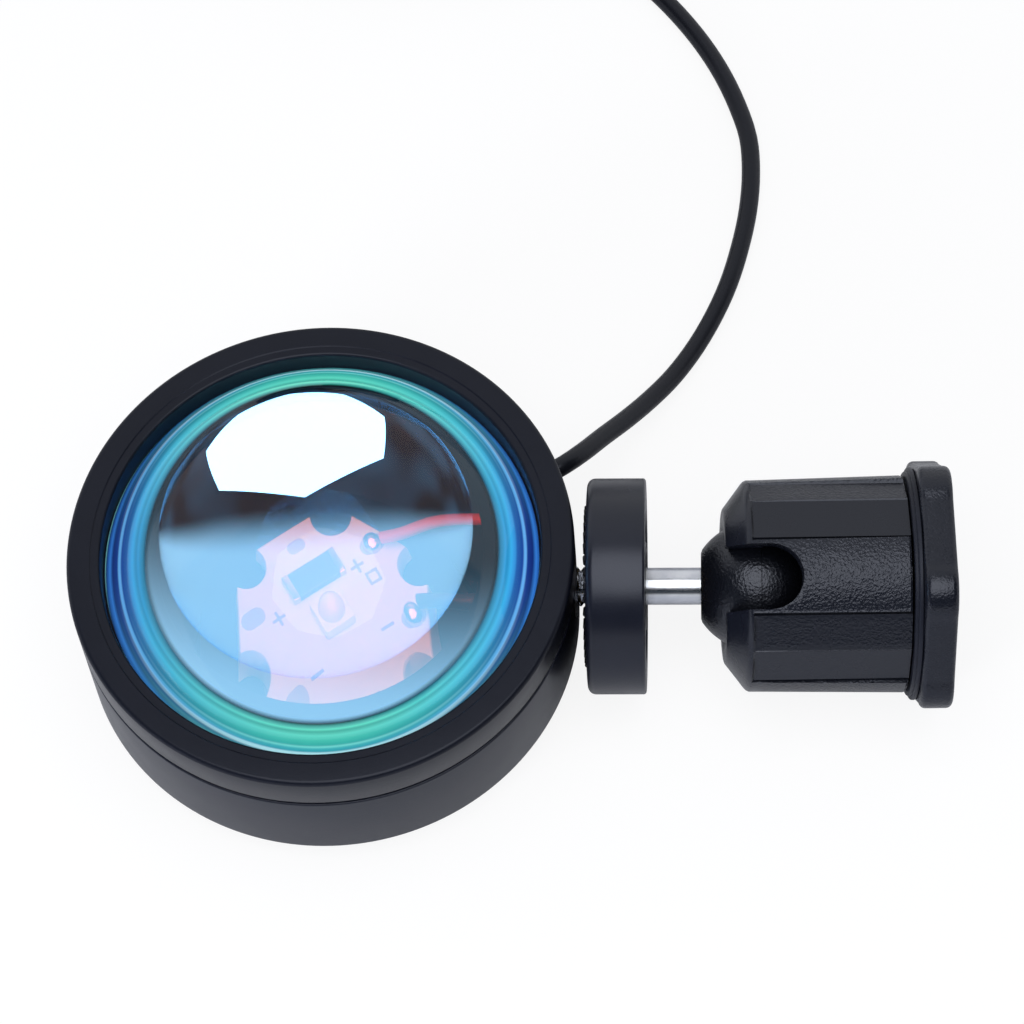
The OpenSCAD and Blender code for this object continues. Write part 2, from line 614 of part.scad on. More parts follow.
// The coil: layers that spiral in and out at a steady rate, wound clockwise seen from above,
// and climb to the next layer in the half turn where the spiral reverses
function ramp(x) = x <= 0 ? 0 : x >= 1 ? 1 : x;
function climbing(t) = [for (k = [1 : 1 : coil_layers - 1]) ramp((t - k * layer_turns + 0.25) / 0.5)];
function sum(v, i = 0) = i >= len(v) ? 0 : v[i] + sum(v, i + 1);
function fold(x) = abs(x - 2 * floor(x / 2 + 0.5));
function coil_point(t) = let (r = coil_r + coil_half * (1 - 2 * fold(t / layer_turns)), a = -90 - 360 * t)
    coil_center + [r * cos(a), r * sin(a), coil_z + coil_pitch * sum(climbing(t))];
coil_steps = round(coil_turns * 24);
coil_path = [for (i = [0 : coil_steps]) coil_point(coil_turns * i / coil_steps)];
module cord_coil() color("#121314") tube(coil_path, cord_r, 6);

// Least clear distance between turns, measured on the ring centres
gap_list = [for (i = [0 : coil_steps], j = [i + 12 : 1 : coil_steps])
    norm(coil_path[i] - coil_path[j]) - cord_d];
echo(coil_gap = min(gap_list));  // cord_coil

coil_end = coil_path[coil_steps];
plug_in = plug_pos - [plug_l / 2 + 10, 0, 0];
module cord_tail() color("#121314") tube(concat([coil_end, coil_end + [cord_d, 0, 0]],
    [for (p = tail_route) [p[0], coil_end[1], coil_end[2] + p[2]]],
    [plug_in - [cord_d, 0, 0], plug_in, plug_in + [3.9, 0, 0]]), cord_r, 8);

module coil_strap() color("#2a2b2e") translate(coil_center) rotate([0, 0, 180])
    translate([coil_r, 0, 0]) rotate([90, 0, 0]) translate([0, 0, -4]) linear_extrude(8) difference() {
        strap_outline(0);
        strap_outline(0.5);
    }
strap_w = 2 * coil_half + cord_d + 1.8;
strap_h = coil_pitch * (coil_layers - 1) + cord_d + 2 * coil_lift;
module strap_outline(inset) hull() for (x = [-1, 1], y = [1.5, strap_h - 1.5])
    translate([x * (strap_w / 2 - 1.5), y]) circle(r = 1.5 - inset, $fn = 24);

// ---------------------------------------------------------------- inline switch

module switch_slab(z1, z2, inset) translate(switch_pos + [0, 0, z1]) linear_extrude(z2 - z1)
    offset(r = 3 - inset) square([switch_l - 6, switch_w - 6], center = true);

module switch_hollow() translate(switch_pos + [-switch_l / 2 + 2, -switch_w / 2 + 2, 1.6])
    cube([switch_l - 4, switch_w - 4, switch_h - 3.2]);

module cord_ports() translate(switch_pos + [0, 0, switch_axis_h])
    rod_x(cord_r + cord_fit, -switch_l / 2 - 1, switch_l / 2 + 1);

module switch_base() color("#1b1c1e") difference() {
    union() {
        switch_slab(0, 0.6, 0.6);
        switch_slab(0.6, switch_axis_h - seat_gap, 0);
    }
    switch_hollow();
    cord_ports();
}

button_d = 9;
module switch_cover() color("#1b1c1e") difference() {
    union() {
        switch_slab(switch_axis_h + seat_gap, switch_h - 0.6, 0);
        switch_slab(switch_h - 0.6, switch_h, 0.6);
    }
    switch_hollow();
    cord_ports();
    translate(switch_pos) cylinder(d = button_d + 0.6, h = switch_h + 1);
}

module switch_button() color("#3a3b3e") translate(switch_pos) union() {
    translate([0, 0, switch_h - 3]) cylinder(d = button_d + 2.4, h = 1.2);
    translate([0, 0, switch_h - 3]) cylinder(d = button_d, h = 3.9);
    translate([0, 0, switch_h + 0.9]) cylinder(d1 = button_d, d2 = button_d - 0.8, h = 0.4);
}

// ---------------------------------------------------------------- plug

module plug_handle() color("#161718") translate(plug_pos) difference() {
    union() {
        translate([-plug_l / 2, 0, 0]) rotate([90, 0, 90]) linear_extrude(plug_l)
            offset(r = 1.5) square([plug_w - 3, plug_h - 3], center = true);
        turned_x([[-plug_l / 2 - 10, 0], [-plug_l / 2 - 10, cord_r + 0.6],
            [-plug_l / 2 + 1, plug_h / 2 - 0.6], [-plug_l / 2 + 1, 0]]);
    }
    for (i = [0 : 3]) rotate([0, 90, 0]) translate([0, 0, -plug_l / 2 - 8.6 + 2.2 * i]) difference() {
        cylinder(r = plug_h, h = 1);
        translate([0, 0, -1]) cylinder(r = cord_r + 0.4 + 0.25 * i, h = 3);
    }
    rod_x(cord_r + cord_fit, -plug_l / 2 - 11, -plug_l / 2 - 6);
    translate([plug_l / 2 - 6, -6.02, -2.27]) cube([7, 12.04, 4.54]);
}

module plug_shell() color("#cfd2d6") translate(plug_pos) difference() {
    translate([plug_l / 2 - 6 + seat_gap, -6, -2.25]) cube([shell_l + 6, 12, 4.5]);
    translate([plug_l / 2 - 5, -5.7, -1.95]) cube([shell_l + 8, 11.4, 3.9]);
    for (y = [-3, 3]) translate([plug_l / 2 + shell_l * 0.5, y - 1.25, -3]) cube([2.5, 2.5, 6]);
}

module plug_tongue() color("#f0f0ee") translate(plug_pos) translate([plug_l / 2 - 5 + seat_gap, -5.6, 0.1])
    cube([shell_l + 4.4, 11.2, 1.8]);

module plug_contacts() color("#d8b35a") translate(plug_pos) for (y = [-3.5, -1.1, 1.1, 3.5])
    translate([plug_l / 2 + 1, y - 0.5, -0.1]) cube([shell_l - 3, 1, 0.2 - seat_gap]);

front_bezel();
lens();
lens_gasket();
light_baffle();
rear_housing();
back_cover();
cover_screws();
heat_plate();
heat_sink();
thermal_pad();
star_board();
led_package();
led_dome();
resistor();
solder_joints();
red_wire();
black_wire();
side_insert();
cord_grommet();
cord_tie();
threaded_stud();
ball();
disc_insert();
locking_disc();
friction_ring();
locking_sleeve();
ball_seat();
base_plate();
collar_washer();
base_insert();
foot_pad();
cord_lead();
cord_link();
cord_coil();
cord_tail();
coil_strap();
switch_base();
switch_cover();
switch_button();
plug_handle();
plug_shell();
plug_tongue();
plug_contacts();
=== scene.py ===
"""Sunset projection lamp: the pieces that show, their finishes, the light and the camera.

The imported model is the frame. Shapes are drawn in millimetres, in the head's, the base's or the
table's own axes, and are put in their place, in metres, when their mesh is made.
"""
import logging
import math
from dataclasses import dataclass, field
from enum import Enum
from typing import Callable, Optional, Sequence

import bmesh
import bpy
from bpy.types import GeometryNodeTree, Material, Mesh, Node, NodeSocket, NodeTree, Object
from mathutils import Matrix, Vector


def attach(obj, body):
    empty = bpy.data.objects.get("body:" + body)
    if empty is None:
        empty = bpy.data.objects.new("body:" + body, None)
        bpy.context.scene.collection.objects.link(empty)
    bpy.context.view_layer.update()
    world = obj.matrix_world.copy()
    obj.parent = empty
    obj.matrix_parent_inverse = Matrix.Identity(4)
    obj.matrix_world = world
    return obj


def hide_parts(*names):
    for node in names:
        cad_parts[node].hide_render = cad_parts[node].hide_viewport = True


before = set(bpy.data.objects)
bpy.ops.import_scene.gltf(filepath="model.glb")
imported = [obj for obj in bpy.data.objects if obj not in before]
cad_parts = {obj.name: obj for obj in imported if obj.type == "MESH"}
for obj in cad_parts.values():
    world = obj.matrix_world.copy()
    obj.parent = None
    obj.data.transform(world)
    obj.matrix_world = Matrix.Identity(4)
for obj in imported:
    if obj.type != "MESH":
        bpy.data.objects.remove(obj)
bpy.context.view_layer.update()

LOG = logging.getLogger("lamp")
MM = 0.001
TAU = 2 * math.pi

Colour = tuple[float, float, float, float]
Flat = tuple[float, float]
WHITE = (1.0, 1.0, 1.0, 1.0)


def slide(x: float, y: float, z: float) -> Matrix:
    """A move by x, y, z."""
    return Matrix.Translation((x, y, z))


def spin(degrees: float) -> Matrix:
    """A turn about the Z axis."""
    return Matrix.Rotation(math.radians(degrees), 4, "Z")


# How the lamp lies on the table: the ball's centre, the head's lean and swing, the ball's
# distance from the lens axis, and the sleeve's turn
BALL = Vector((39.2426, -2.14366, 19.0904))
LEAN = math.radians(2.27547)
SWING = math.radians(-1.8)
REACH = 68.3
SLOT_TURN = math.radians(20)

TABLE = Matrix.Identity(4)
BASE = slide(*BALL)
SLEEVE = BASE @ Matrix.Rotation(SLOT_TURN, 4, "X")
HEAD = (BASE @ Matrix.Rotation(SWING, 4, "Z") @ Matrix.Rotation(-LEAN, 4, "Y")
        @ slide(-REACH, 0, 0))
ALONG_X = Matrix.Rotation(math.pi / 2, 4, "Y")


def circle(radius: float, height: float, steps: int) -> list[Vector]:
    """Points evenly round the Z axis, from the X axis on."""
    return [Vector((radius * math.cos(TAU * k / steps), radius * math.sin(TAU * k / steps), height))
            for k in range(steps)]


def show(obj: Object) -> Object:
    """Puts an object in the scene."""
    bpy.context.scene.collection.objects.link(obj)
    return obj


# ---------- shapes in millimetres

@dataclass
class Shape:
    """A closed form: its corners in millimetres, its faces, and each face's material place."""

    corners: list[Vector] = field(default_factory=list)
    faces: list[tuple[int, ...]] = field(default_factory=list)
    places: list[int] = field(default_factory=list)

    def add(self, other: "Shape", at: Matrix = TABLE, place: Optional[int] = None) -> "Shape":
        """Joins another form to this one.

        Args:
            other: the form to add.
            at: where it goes.
            place: the material place of its faces, or None to keep its own.

        Returns:
            This form.
        """
        start = len(self.corners)
        self.corners += [at @ c for c in other.corners]
        self.faces += [tuple(i + start for i in f) for f in other.faces]
        self.places += [p if place is None else place for p in other.places]
        return self

    def moved(self, at: Matrix) -> "Shape":
        """A copy of this form, moved by a matrix."""
        return Shape().add(self, at)

    @classmethod
    def taken(cls, obj: Object) -> "Shape":
        """Makes a form of an object's mesh and removes the object.

        Args:
            obj: a mesh object with no modifiers left.

        Returns:
            Its form, with every face in material place 0.
        """
        mesh = obj.data
        form = cls([v.co.copy() for v in mesh.vertices], [tuple(p.vertices) for p in mesh.polygons],
                   [0] * len(mesh.polygons))
        bpy.data.objects.remove(obj)
        return form


def close_rings(rings: Sequence[Sequence[Vector]], ends: bool = True, loop: bool = False) -> Shape:
    """Skins a row of rings that have the same number of corners.

    Args:
        rings: the rings, each turning the same way round.
        ends: whether the first and the last ring are closed with a fan.
        loop: whether the last ring joins the first.

    Returns:
        The skinned form.
    """
    n = len(rings[0])
    corners = [Vector(c) for r in rings for c in r]
    faces = []
    for i in range(len(rings) if loop else len(rings) - 1):
        a, b = i * n, ((i + 1) % len(rings)) * n
        faces += [(a + k, a + (k + 1) % n, b + (k + 1) % n, b + k) for k in range(n)]
    if ends and not loop:
        for first, ring in ((True, rings[0]), (False, rings[-1])):
            middle = sum((Vector(c) for c in ring), Vector()) / n
            at = 0 if first else (len(rings) - 1) * n
            corners.append(middle)
            for k in range(n):
                pair = (at + (k + 1) % n, at + k) if first else (at + k, at + (k + 1) % n)
                faces.append(pair + (len(corners) - 1,))
    return Shape(corners, faces, [0] * len(faces))


def lathe(profile: Sequence[Flat], steps: int = 128, closed: bool = False,
          places: Optional[Callable[[float, float], int]] = None) -> Shape:
    """Turns a profile of (radius, height) round the Z axis.

    Args:
        profile: the points, from the bottom up on the outside, so that faces point outwards.
        steps: how many sides the turned form has.
        closed: whether the profile is a ring, for a form with a bore.
        places: the material place of a face from its middle's radius and height.

    Returns:
        The turned form. Points on the axis become poles.
    """
    corners: list[Vector] = []
    rows: list[list[int]] = []
    for r, z in profile:
        if r < 1e-6:
            corners.append(Vector((0, 0, z)))
            rows.append([len(corners) - 1] * steps)
        else:
            rows.append(list(range(len(corners), len(corners) + steps)))
            corners += circle(r, z, steps)
    faces, marks = [], []
    count = len(profile)
    for i in range(count if closed else count - 1):
        j = (i + 1) % count
        mark = 0
        if places:
            mark = places((profile[i][0] + profile[j][0]) / 2, (profile[i][1] + profile[j][1]) / 2)
        for k in range(steps):
            m = (k + 1) % steps
            face: list[int] = []
            for v in (rows[i][k], rows[i][m], rows[j][m], rows[j][k]):
                if v not in face:
                    face.append(v)
            if len(face) > 2:
                faces.append(tuple(face))
                marks.append(mark)
    return Shape(corners, faces, marks)


def arc(middle: Flat, radius: float, start: float, end: float, steps: int = 6) -> list[Flat]:
    """Points of an arc of (radius, height) pairs, with its angles in degrees."""
    return [(middle[0] + radius * math.cos(math.radians(start + (end - start) * i / steps)),
             middle[1] + radius * math.sin(math.radians(start + (end - start) * i / steps)))
            for i in range(steps + 1)]


def rod(radius: float, start: float, end: float, edge: float = 0.0, steps: int = 64) -> Shape:
    """A rod along Z.

    Args:
        radius: its radius.
        start: its lower end.
        end: its upper end.
        edge: the radius that its edges are rounded by, or 0 for sharp ones.
        steps: how many sides it has.

    Returns:
        The rod.
    """
    if edge <= 0:
        return lathe([(0, start), (radius, start), (radius, end), (0, end)], steps)
    return lathe([(0, start)] + arc((radius - edge, start + edge), edge, -90, 0, 4)
                 + arc((radius - edge, end - edge), edge, 0, 90, 4) + [(0, end)], steps)


def rounded(width: float, depth: float, radius: float, steps: int = 6) -> list[Flat]:
    """The outline of a rectangle with round corners, round its middle.

    Args:
        width: its size on X.
        depth: its size on Y.
        radius: the corners' radius.
        steps: how many sides each corner has.

    Returns:
        The outline's points.
    """
    x, y = width / 2 - radius, depth / 2 - radius
    points: list[Flat] = []
    for cx, cy, turn in ((x, -y, -90), (x, y, 0), (-x, y, 90), (-x, -y, 180)):
        points += arc((cx, cy), radius, turn, turn + 90, steps)
    return points


def edge_rows(low: float, high: float, edge: float, steps: int) -> list[Flat]:
    """The rings of a block whose lower and upper edges are rounded.

    Args:
        low: the block's underside.
        high: its top.
        edge: the edges' radius.
        steps: how many sides each rounding has.

    Returns:
        Each ring's inset and height, from the bottom up.
    """
    turns = [math.pi / 2 * i / steps for i in range(steps + 1)]
    return ([(edge * (1 - math.sin(a)), low + edge * (1 - math.cos(a))) for a in turns]
            + [(edge * (1 - math.cos(a)), high - edge * (1 - math.sin(a))) for a in turns])


def slab(width: float, depth: float, corner: float, low: float, high: float, edge: float,
         steps: int = 6) -> Shape:
    """A flat block with round corners and rounded top and bottom edges, its faces square to Z.

    Args:
        width: its size on X.
        depth: its size on Y.
        corner: the corners' radius.
        low: its underside.
        high: its top.
        edge: the radius of the top and bottom edges.
        steps: how many sides each corner has.

    Returns:
        The block.
    """
    rings = []
    for inset, z in edge_rows(low, high, edge, 4):
        outline = rounded(width - 2 * inset, depth - 2 * inset, max(corner - inset, 0.05), steps)
        rings.append([Vector((x, y, z)) for x, y in outline])
    return close_rings(rings)


def smooth_path(points: Sequence[Vector], spacing: float) -> list[Vector]:
    """A Catmull-Rom curve through points, at about an even spacing.

    Args:
        points: the points that it passes through.
        spacing: the distance between two of its own points.

    Returns:
        The curve's points, the first and last ones unchanged.
    """
    full = [points[0] * 2 - points[1], *points, points[-1] * 2 - points[-2]]
    out = [points[0].copy()]
    for i in range(1, len(full) - 2):
        p0, p1, p2, p3 = full[i - 1:i + 3]
        parts = max(1, round((p2 - p1).length / spacing))
        t0, t1, t2 = (max((b - a).length, 1e-6) ** 0.5 for a, b in ((p0, p1), (p1, p2), (p2, p3)))
        m1 = ((p1 - p0) / t0 - (p2 - p0) / (t0 + t1) + (p2 - p1) / t1) * t1
        m2 = ((p2 - p1) / t1 - (p3 - p1) / (t1 + t2) + (p3 - p2) / t2) * t1
        for k in range(1, parts + 1):
            t = k / parts
            out.append(p1 * (2 * t ** 3 - 3 * t ** 2 + 1) + m1 * (t ** 3 - 2 * t ** 2 + t)
                       + p2 * (3 * t ** 2 - 2 * t ** 3) + m2 * (t ** 3 - t ** 2))
    return out


def tube(path: Sequence[Vector], radius: float, sides: int = 16) -> Shape:
    """A round tube along a path, with its rings carried along without a twist.

    Args:
        path: the centre line.
        radius: the tube's radius.
        sides: how many sides it has.

    Returns:
        The tube, with closed ends.
    """
    rings = []
    last = len(path) - 1
    ahead = (path[1] - path[0]).normalized()
    side = ahead.orthogonal().normalized()
    for i, p in enumerate(path):
        now = (path[min(i + 1, last)] - path[max(i - 1, 0)]).normalized()
        side = (side - now * side.dot(now)).normalized()
        up = now.cross(side)
        rings.append([p + radius * (math.cos(TAU * k / sides) * side
                                    + math.sin(TAU * k / sides) * up) for k in range(sides)])
    return close_rings(rings)


# ---------- meshes and pieces

def raw_mesh(name: str, shape: Shape) -> Mesh:
    """A mesh of a shape, in millimetres, with its doubles merged and its faces turned outwards.

    Args:
        name: the mesh's name.
        shape: the form that it takes.

    Returns:
        The mesh.
    """
    mesh = bpy.data.meshes.new(name)
    mesh.from_pydata([tuple(c) for c in shape.corners], [], shape.faces)
    for poly, place in zip(mesh.polygons, shape.places):
        poly.material_index = place
    mesh.update()
    bm = bmesh.new()
    bm.from_mesh(mesh)
    bmesh.ops.remove_doubles(bm, verts=bm.verts, dist=1e-4)
    bmesh.ops.recalc_face_normals(bm, faces=bm.faces)
    bm.to_mesh(mesh)
    bm.free()
    return mesh


def settle(obj: Object) -> None:
    """Turns an object with modifiers into its plain finished mesh.

    Args:
        obj: the object, which keeps its name and loses its modifiers.
    """
    graph = bpy.context.evaluated_depsgraph_get()
    graph.update()
    done = bpy.data.meshes.new_from_object(obj.evaluated_get(graph))
    obj.modifiers.clear()
    obj.data = done


@dataclass
class Work:
    """A piece while it is made, in millimetres in its own axes."""

    name: str
    shape: Shape
    obj: Object = field(init=False)

    def __post_init__(self) -> None:
        """Puts the raw mesh in the scene."""
        self.obj = show(bpy.data.objects.new(self.name, raw_mesh(self.name, self.shape)))

    def cut(self, *cutters: Shape) -> "Work":
        """Cuts shapes out of the piece, one after another.

        Args:
            cutters: the closed forms to take away.

        Returns:
            This piece.
        """
        for i, cutter in enumerate(cutters):
            tool = show(bpy.data.objects.new(f"{self.name}.cutter{i}", raw_mesh("cutter", cutter)))
            mod = self.obj.modifiers.new("cut", "BOOLEAN")
            mod.operation, mod.solver, mod.object = "DIFFERENCE", "EXACT", tool
            settle(self.obj)
            bpy.data.objects.remove(tool)
        return self

    def soften(self, width: float, steps: int = 2, angle: float = 40) -> "Work":
        """Rounds the piece's sharp edges.

        Args:
            width: how wide the rounding is.
            steps: how many sides it has.
            angle: the angle in degrees above which an edge is rounded.

        Returns:
            This piece.
        """
        mod = self.obj.modifiers.new("soften", "BEVEL")
        mod.width, mod.segments, mod.limit_method = width, steps, "ANGLE"
        mod.angle_limit = math.radians(angle)
        mod.use_clamp_overlap = True
        settle(self.obj)
        return self

    def grained(self, share: Callable[[Vector], float]) -> "Work":
        """Marks how coarse the grain is at each corner.

        Args:
            share: gives the grain at a place, from 0 to 1.

        Returns:
            This piece.
        """
        mesh = self.obj.data
        grain = mesh.attributes.new("grain", "FLOAT", "POINT")
        for i, v in enumerate(mesh.vertices):
            grain.data[i].value = share(v.co)
        return self

    def done(self, at: Matrix, finishes: Sequence["Finish"], body: str, stands_for: Sequence[str],
             slot: str, sharp: float = 32) -> Object:
        """Puts the piece in its place, dresses it and ties it to its body.

        Args:
            at: where it goes, in millimetres.
            finishes: a finish for each material place.
            body: the body that it rides on.
            stands_for: the CAD nodes that it replaces.
            slot: the record's material slot; not used.
            sharp: the angle in degrees above which an edge stays sharp.

        Returns:
            The finished object.
        """
        mesh = self.obj.data
        for poly in mesh.polygons:
            poly.use_smooth = True
        mesh.set_sharp_from_angle(angle=math.radians(sharp))
        mesh.transform(Matrix.Scale(MM, 4) @ at)
        for finish in finishes:
            mesh.materials.append(finish.material())
        mesh.update()
        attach(self.obj, body)
        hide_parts(*stands_for)
        LOG.info("%s: %d faces, on %s", self.name, len(mesh.polygons), body)
        return self.obj


class Layout(Enum):
    """How a tree sets out its copies."""

    RING = "ring"
    ROW = "row"


@dataclass(frozen=True)
class Repeater:
    """Sets copies of a small part round the Z axis or in a row along X, with a node tree.

    Args:
        layout: a ring or a row.
        count: how many copies.
        size: the ring's radius, or the distance between two copies in a row.
        turn: the first copy's angle on a ring in degrees, or its place on X in a row.
    """

    layout: Layout
    count: int
    size: float
    turn: float = 0.0

    def tree(self) -> tuple[GeometryNodeTree, dict[str, str]]:
        """Builds the node tree.

        Returns:
            The tree, and its inputs' identifiers by name.
        """
        group = bpy.data.node_groups.new(f"{self.layout.value} of copies", "GeometryNodeTree")
        ids: dict[str, str] = {}
        face = group.interface
        for label, kind in (("Part", "NodeSocketObject"), ("Count", "NodeSocketInt"),
                            ("Size", "NodeSocketFloat"), ("Turn", "NodeSocketFloat"),
                            ("Material", "NodeSocketMaterial")):
            ids[label] = face.new_socket(label, in_out="INPUT", socket_type=kind).identifier
        face.new_socket("Copies", in_out="OUTPUT", socket_type="NodeSocketGeometry")
        given = add_node(group, "NodeGroupInput")
        part = add_node(group, "GeometryNodeObjectInfo", {"Object": given.outputs["Part"]})
        index = add_node(group, "GeometryNodeInputIndex")
        if self.layout is Layout.RING:
            points = add_node(group, "GeometryNodeMeshCircle", {
                "Vertices": given.outputs["Count"], "Radius": given.outputs["Size"]})
            share = add_node(group, "ShaderNodeMath", {
                0: index.outputs[0], 1: given.outputs["Count"]}, operation="DIVIDE")
            angle = add_node(group, "ShaderNodeMath", {0: share.outputs[0], 1: TAU},
                             operation="MULTIPLY")
            way = add_node(group, "ShaderNodeCombineXYZ", {"Z": angle.outputs[0]})
            set_out = add_node(group, "GeometryNodeInstanceOnPoints", {
                "Points": points.outputs["Mesh"], "Instance": part.outputs["Geometry"],
                "Rotation": way.outputs[0]})
            start = add_node(group, "ShaderNodeCombineXYZ", {"Z": given.outputs["Turn"]})
            placed = add_node(group, "GeometryNodeTransform", {
                "Geometry": set_out.outputs[0], "Rotation": start.outputs[0]})
        else:
            points = add_node(group, "GeometryNodeMeshLine", {"Count": given.outputs["Count"]})
            step = add_node(group, "ShaderNodeMath", {
                0: index.outputs[0], 1: given.outputs["Size"]}, operation="MULTIPLY")
            place = add_node(group, "ShaderNodeMath", {
                0: step.outputs[0], 1: given.outputs["Turn"]}, operation="ADD")
            there = add_node(group, "ShaderNodeCombineXYZ", {"X": place.outputs[0]})
            put = add_node(group, "GeometryNodeSetPosition", {
                "Geometry": points.outputs["Mesh"], "Position": there.outputs[0]})
            placed = add_node(group, "GeometryNodeInstanceOnPoints", {
                "Points": put.outputs[0], "Instance": part.outputs["Geometry"]})
        real = add_node(group, "GeometryNodeRealizeInstances", {"Geometry": placed.outputs[0]})
        dressed = add_node(group, "GeometryNodeSetMaterial", {
            "Geometry": real.outputs[0], "Material": given.outputs["Material"]})
        add_node(group, "NodeGroupOutput", {"Copies": dressed.outputs[0]})
        return group, ids

    def shape(self, part: Shape, finish: "Finish") -> Shape:
        """The copies as one form.

        Args:
            part: the form that is repeated.
            finish: what the copies are dressed in.

        Returns:
            All copies, in millimetres.
        """
        source = show(bpy.data.objects.new("part", raw_mesh("part", part)))
        holder = show(bpy.data.objects.new("copies", bpy.data.meshes.new("copies")))
        group, ids = self.tree()
        mod = holder.modifiers.new("copies", "NODES")
        mod.node_group = group
        turn = math.radians(self.turn) if self.layout is Layout.RING else self.turn
        for label, value in (("Part", source), ("Count", self.count), ("Size", float(self.size)),
                             ("Turn", float(turn)), ("Material", finish.material())):
            mod[ids[label]] = value
        settle(holder)
        bpy.data.objects.remove(source)
        return Shape.taken(holder)


# ---------- finishes

def linear(hex_colour: str) -> Colour:
    """An sRGB hex colour as linear red, green, blue and 1."""
    values = [int(hex_colour[i:i + 2], 16) / 255 for i in (0, 2, 4)]
    return tuple(v / 12.92 if v <= 0.04045 else ((v + 0.055) / 1.055) ** 2.4
                 for v in values) + (1.0,)


def add_node(tree: NodeTree, kind: str, inputs: Optional[dict] = None,
             **settings: object) -> Node:
    """Adds a node with its settings, values and links.

    Args:
        tree: the tree that it goes in.
        kind: the node's type.
        inputs: by name or number, each a value or the output that is linked to it.
        settings: the node's own settings.

    Returns:
        The new node.
    """
    node = tree.nodes.new(kind)
    for key, value in settings.items():
        setattr(node, key, value)
    for key, value in (inputs or {}).items():
        if isinstance(value, NodeSocket):
            tree.links.new(value, node.inputs[key])
        else:
            node.inputs[key].default_value = value
    return node


def ramp(node: Node, stops: Sequence[tuple[float, Colour]]) -> Node:
    """Gives a node with a colour band its stops.

    Args:
        node: the node.
        stops: pairs of place and colour, in order.

    Returns:
        The same node.
    """
    band = node.color_ramp
    while len(band.elements) > 1:
        band.elements.remove(band.elements[-1])
    band.elements[0].position, band.elements[0].color = stops[0]
    for place, colour in stops[1:]:
        band.elements.new(place).color = colour
    return node


def clouds(tree: NodeTree, size_mm: float, detail: float, rough: float,
           colours: tuple[str, str]) -> tuple[NodeSocket, ...]:
    """Soft clouds that mix two colours over a piece.

    Args:
        tree: the material's tree.
        size_mm: the clouds' size.
        detail: how many layers of finer clouds lie over them.
        rough: how strong the finer layers are.
        colours: the two colours.

    Returns:
        The piece's coordinates, the clouds and the mixed colour.
    """
    where = add_node(tree, "ShaderNodeTexCoord").outputs["Object"]
    cloud = add_node(tree, "ShaderNodeTexNoise", {
        "Vector": where, "Scale": 1 / (size_mm * MM), "Detail": detail, "Roughness": rough})
    colour = add_node(tree, "ShaderNodeMix", {
        0: cloud.outputs[0], 6: linear(colours[0]), 7: linear(colours[1])}, data_type="RGBA")
    return where, cloud.outputs[0], colour.outputs[2]


def new_material(name: str, surface: Callable[[NodeTree], NodeSocket]) -> Material:
    """A new material with a shader that a function builds.

    Args:
        name: the material's name.
        surface: adds the shader's nodes to a tree and gives back its output.

    Returns:
        The material.
    """
    mat = bpy.data.materials.new(name)
    mat.use_nodes = True
    tree = mat.node_tree
    tree.nodes.clear()
    out = add_node(tree, "ShaderNodeOutputMaterial")
    tree.links.new(surface(tree), out.inputs["Surface"])
    return mat


@dataclass(frozen=True)
class Finish:
    """What every finish has: a name for its real material and how its surface was made."""

    name: str

    def material(self) -> Material:
        """The finish's material, made once."""
        return bpy.data.materials.get(self.name) or new_material(self.name, self.surface)

    def surface(self, tree: NodeTree) -> NodeSocket:
        """The shader that the material shows. Each kind of finish builds its own.

        Args:
            tree: the material's empty tree.

        Returns:
            The shader's output.
        """
        raise NotImplementedError


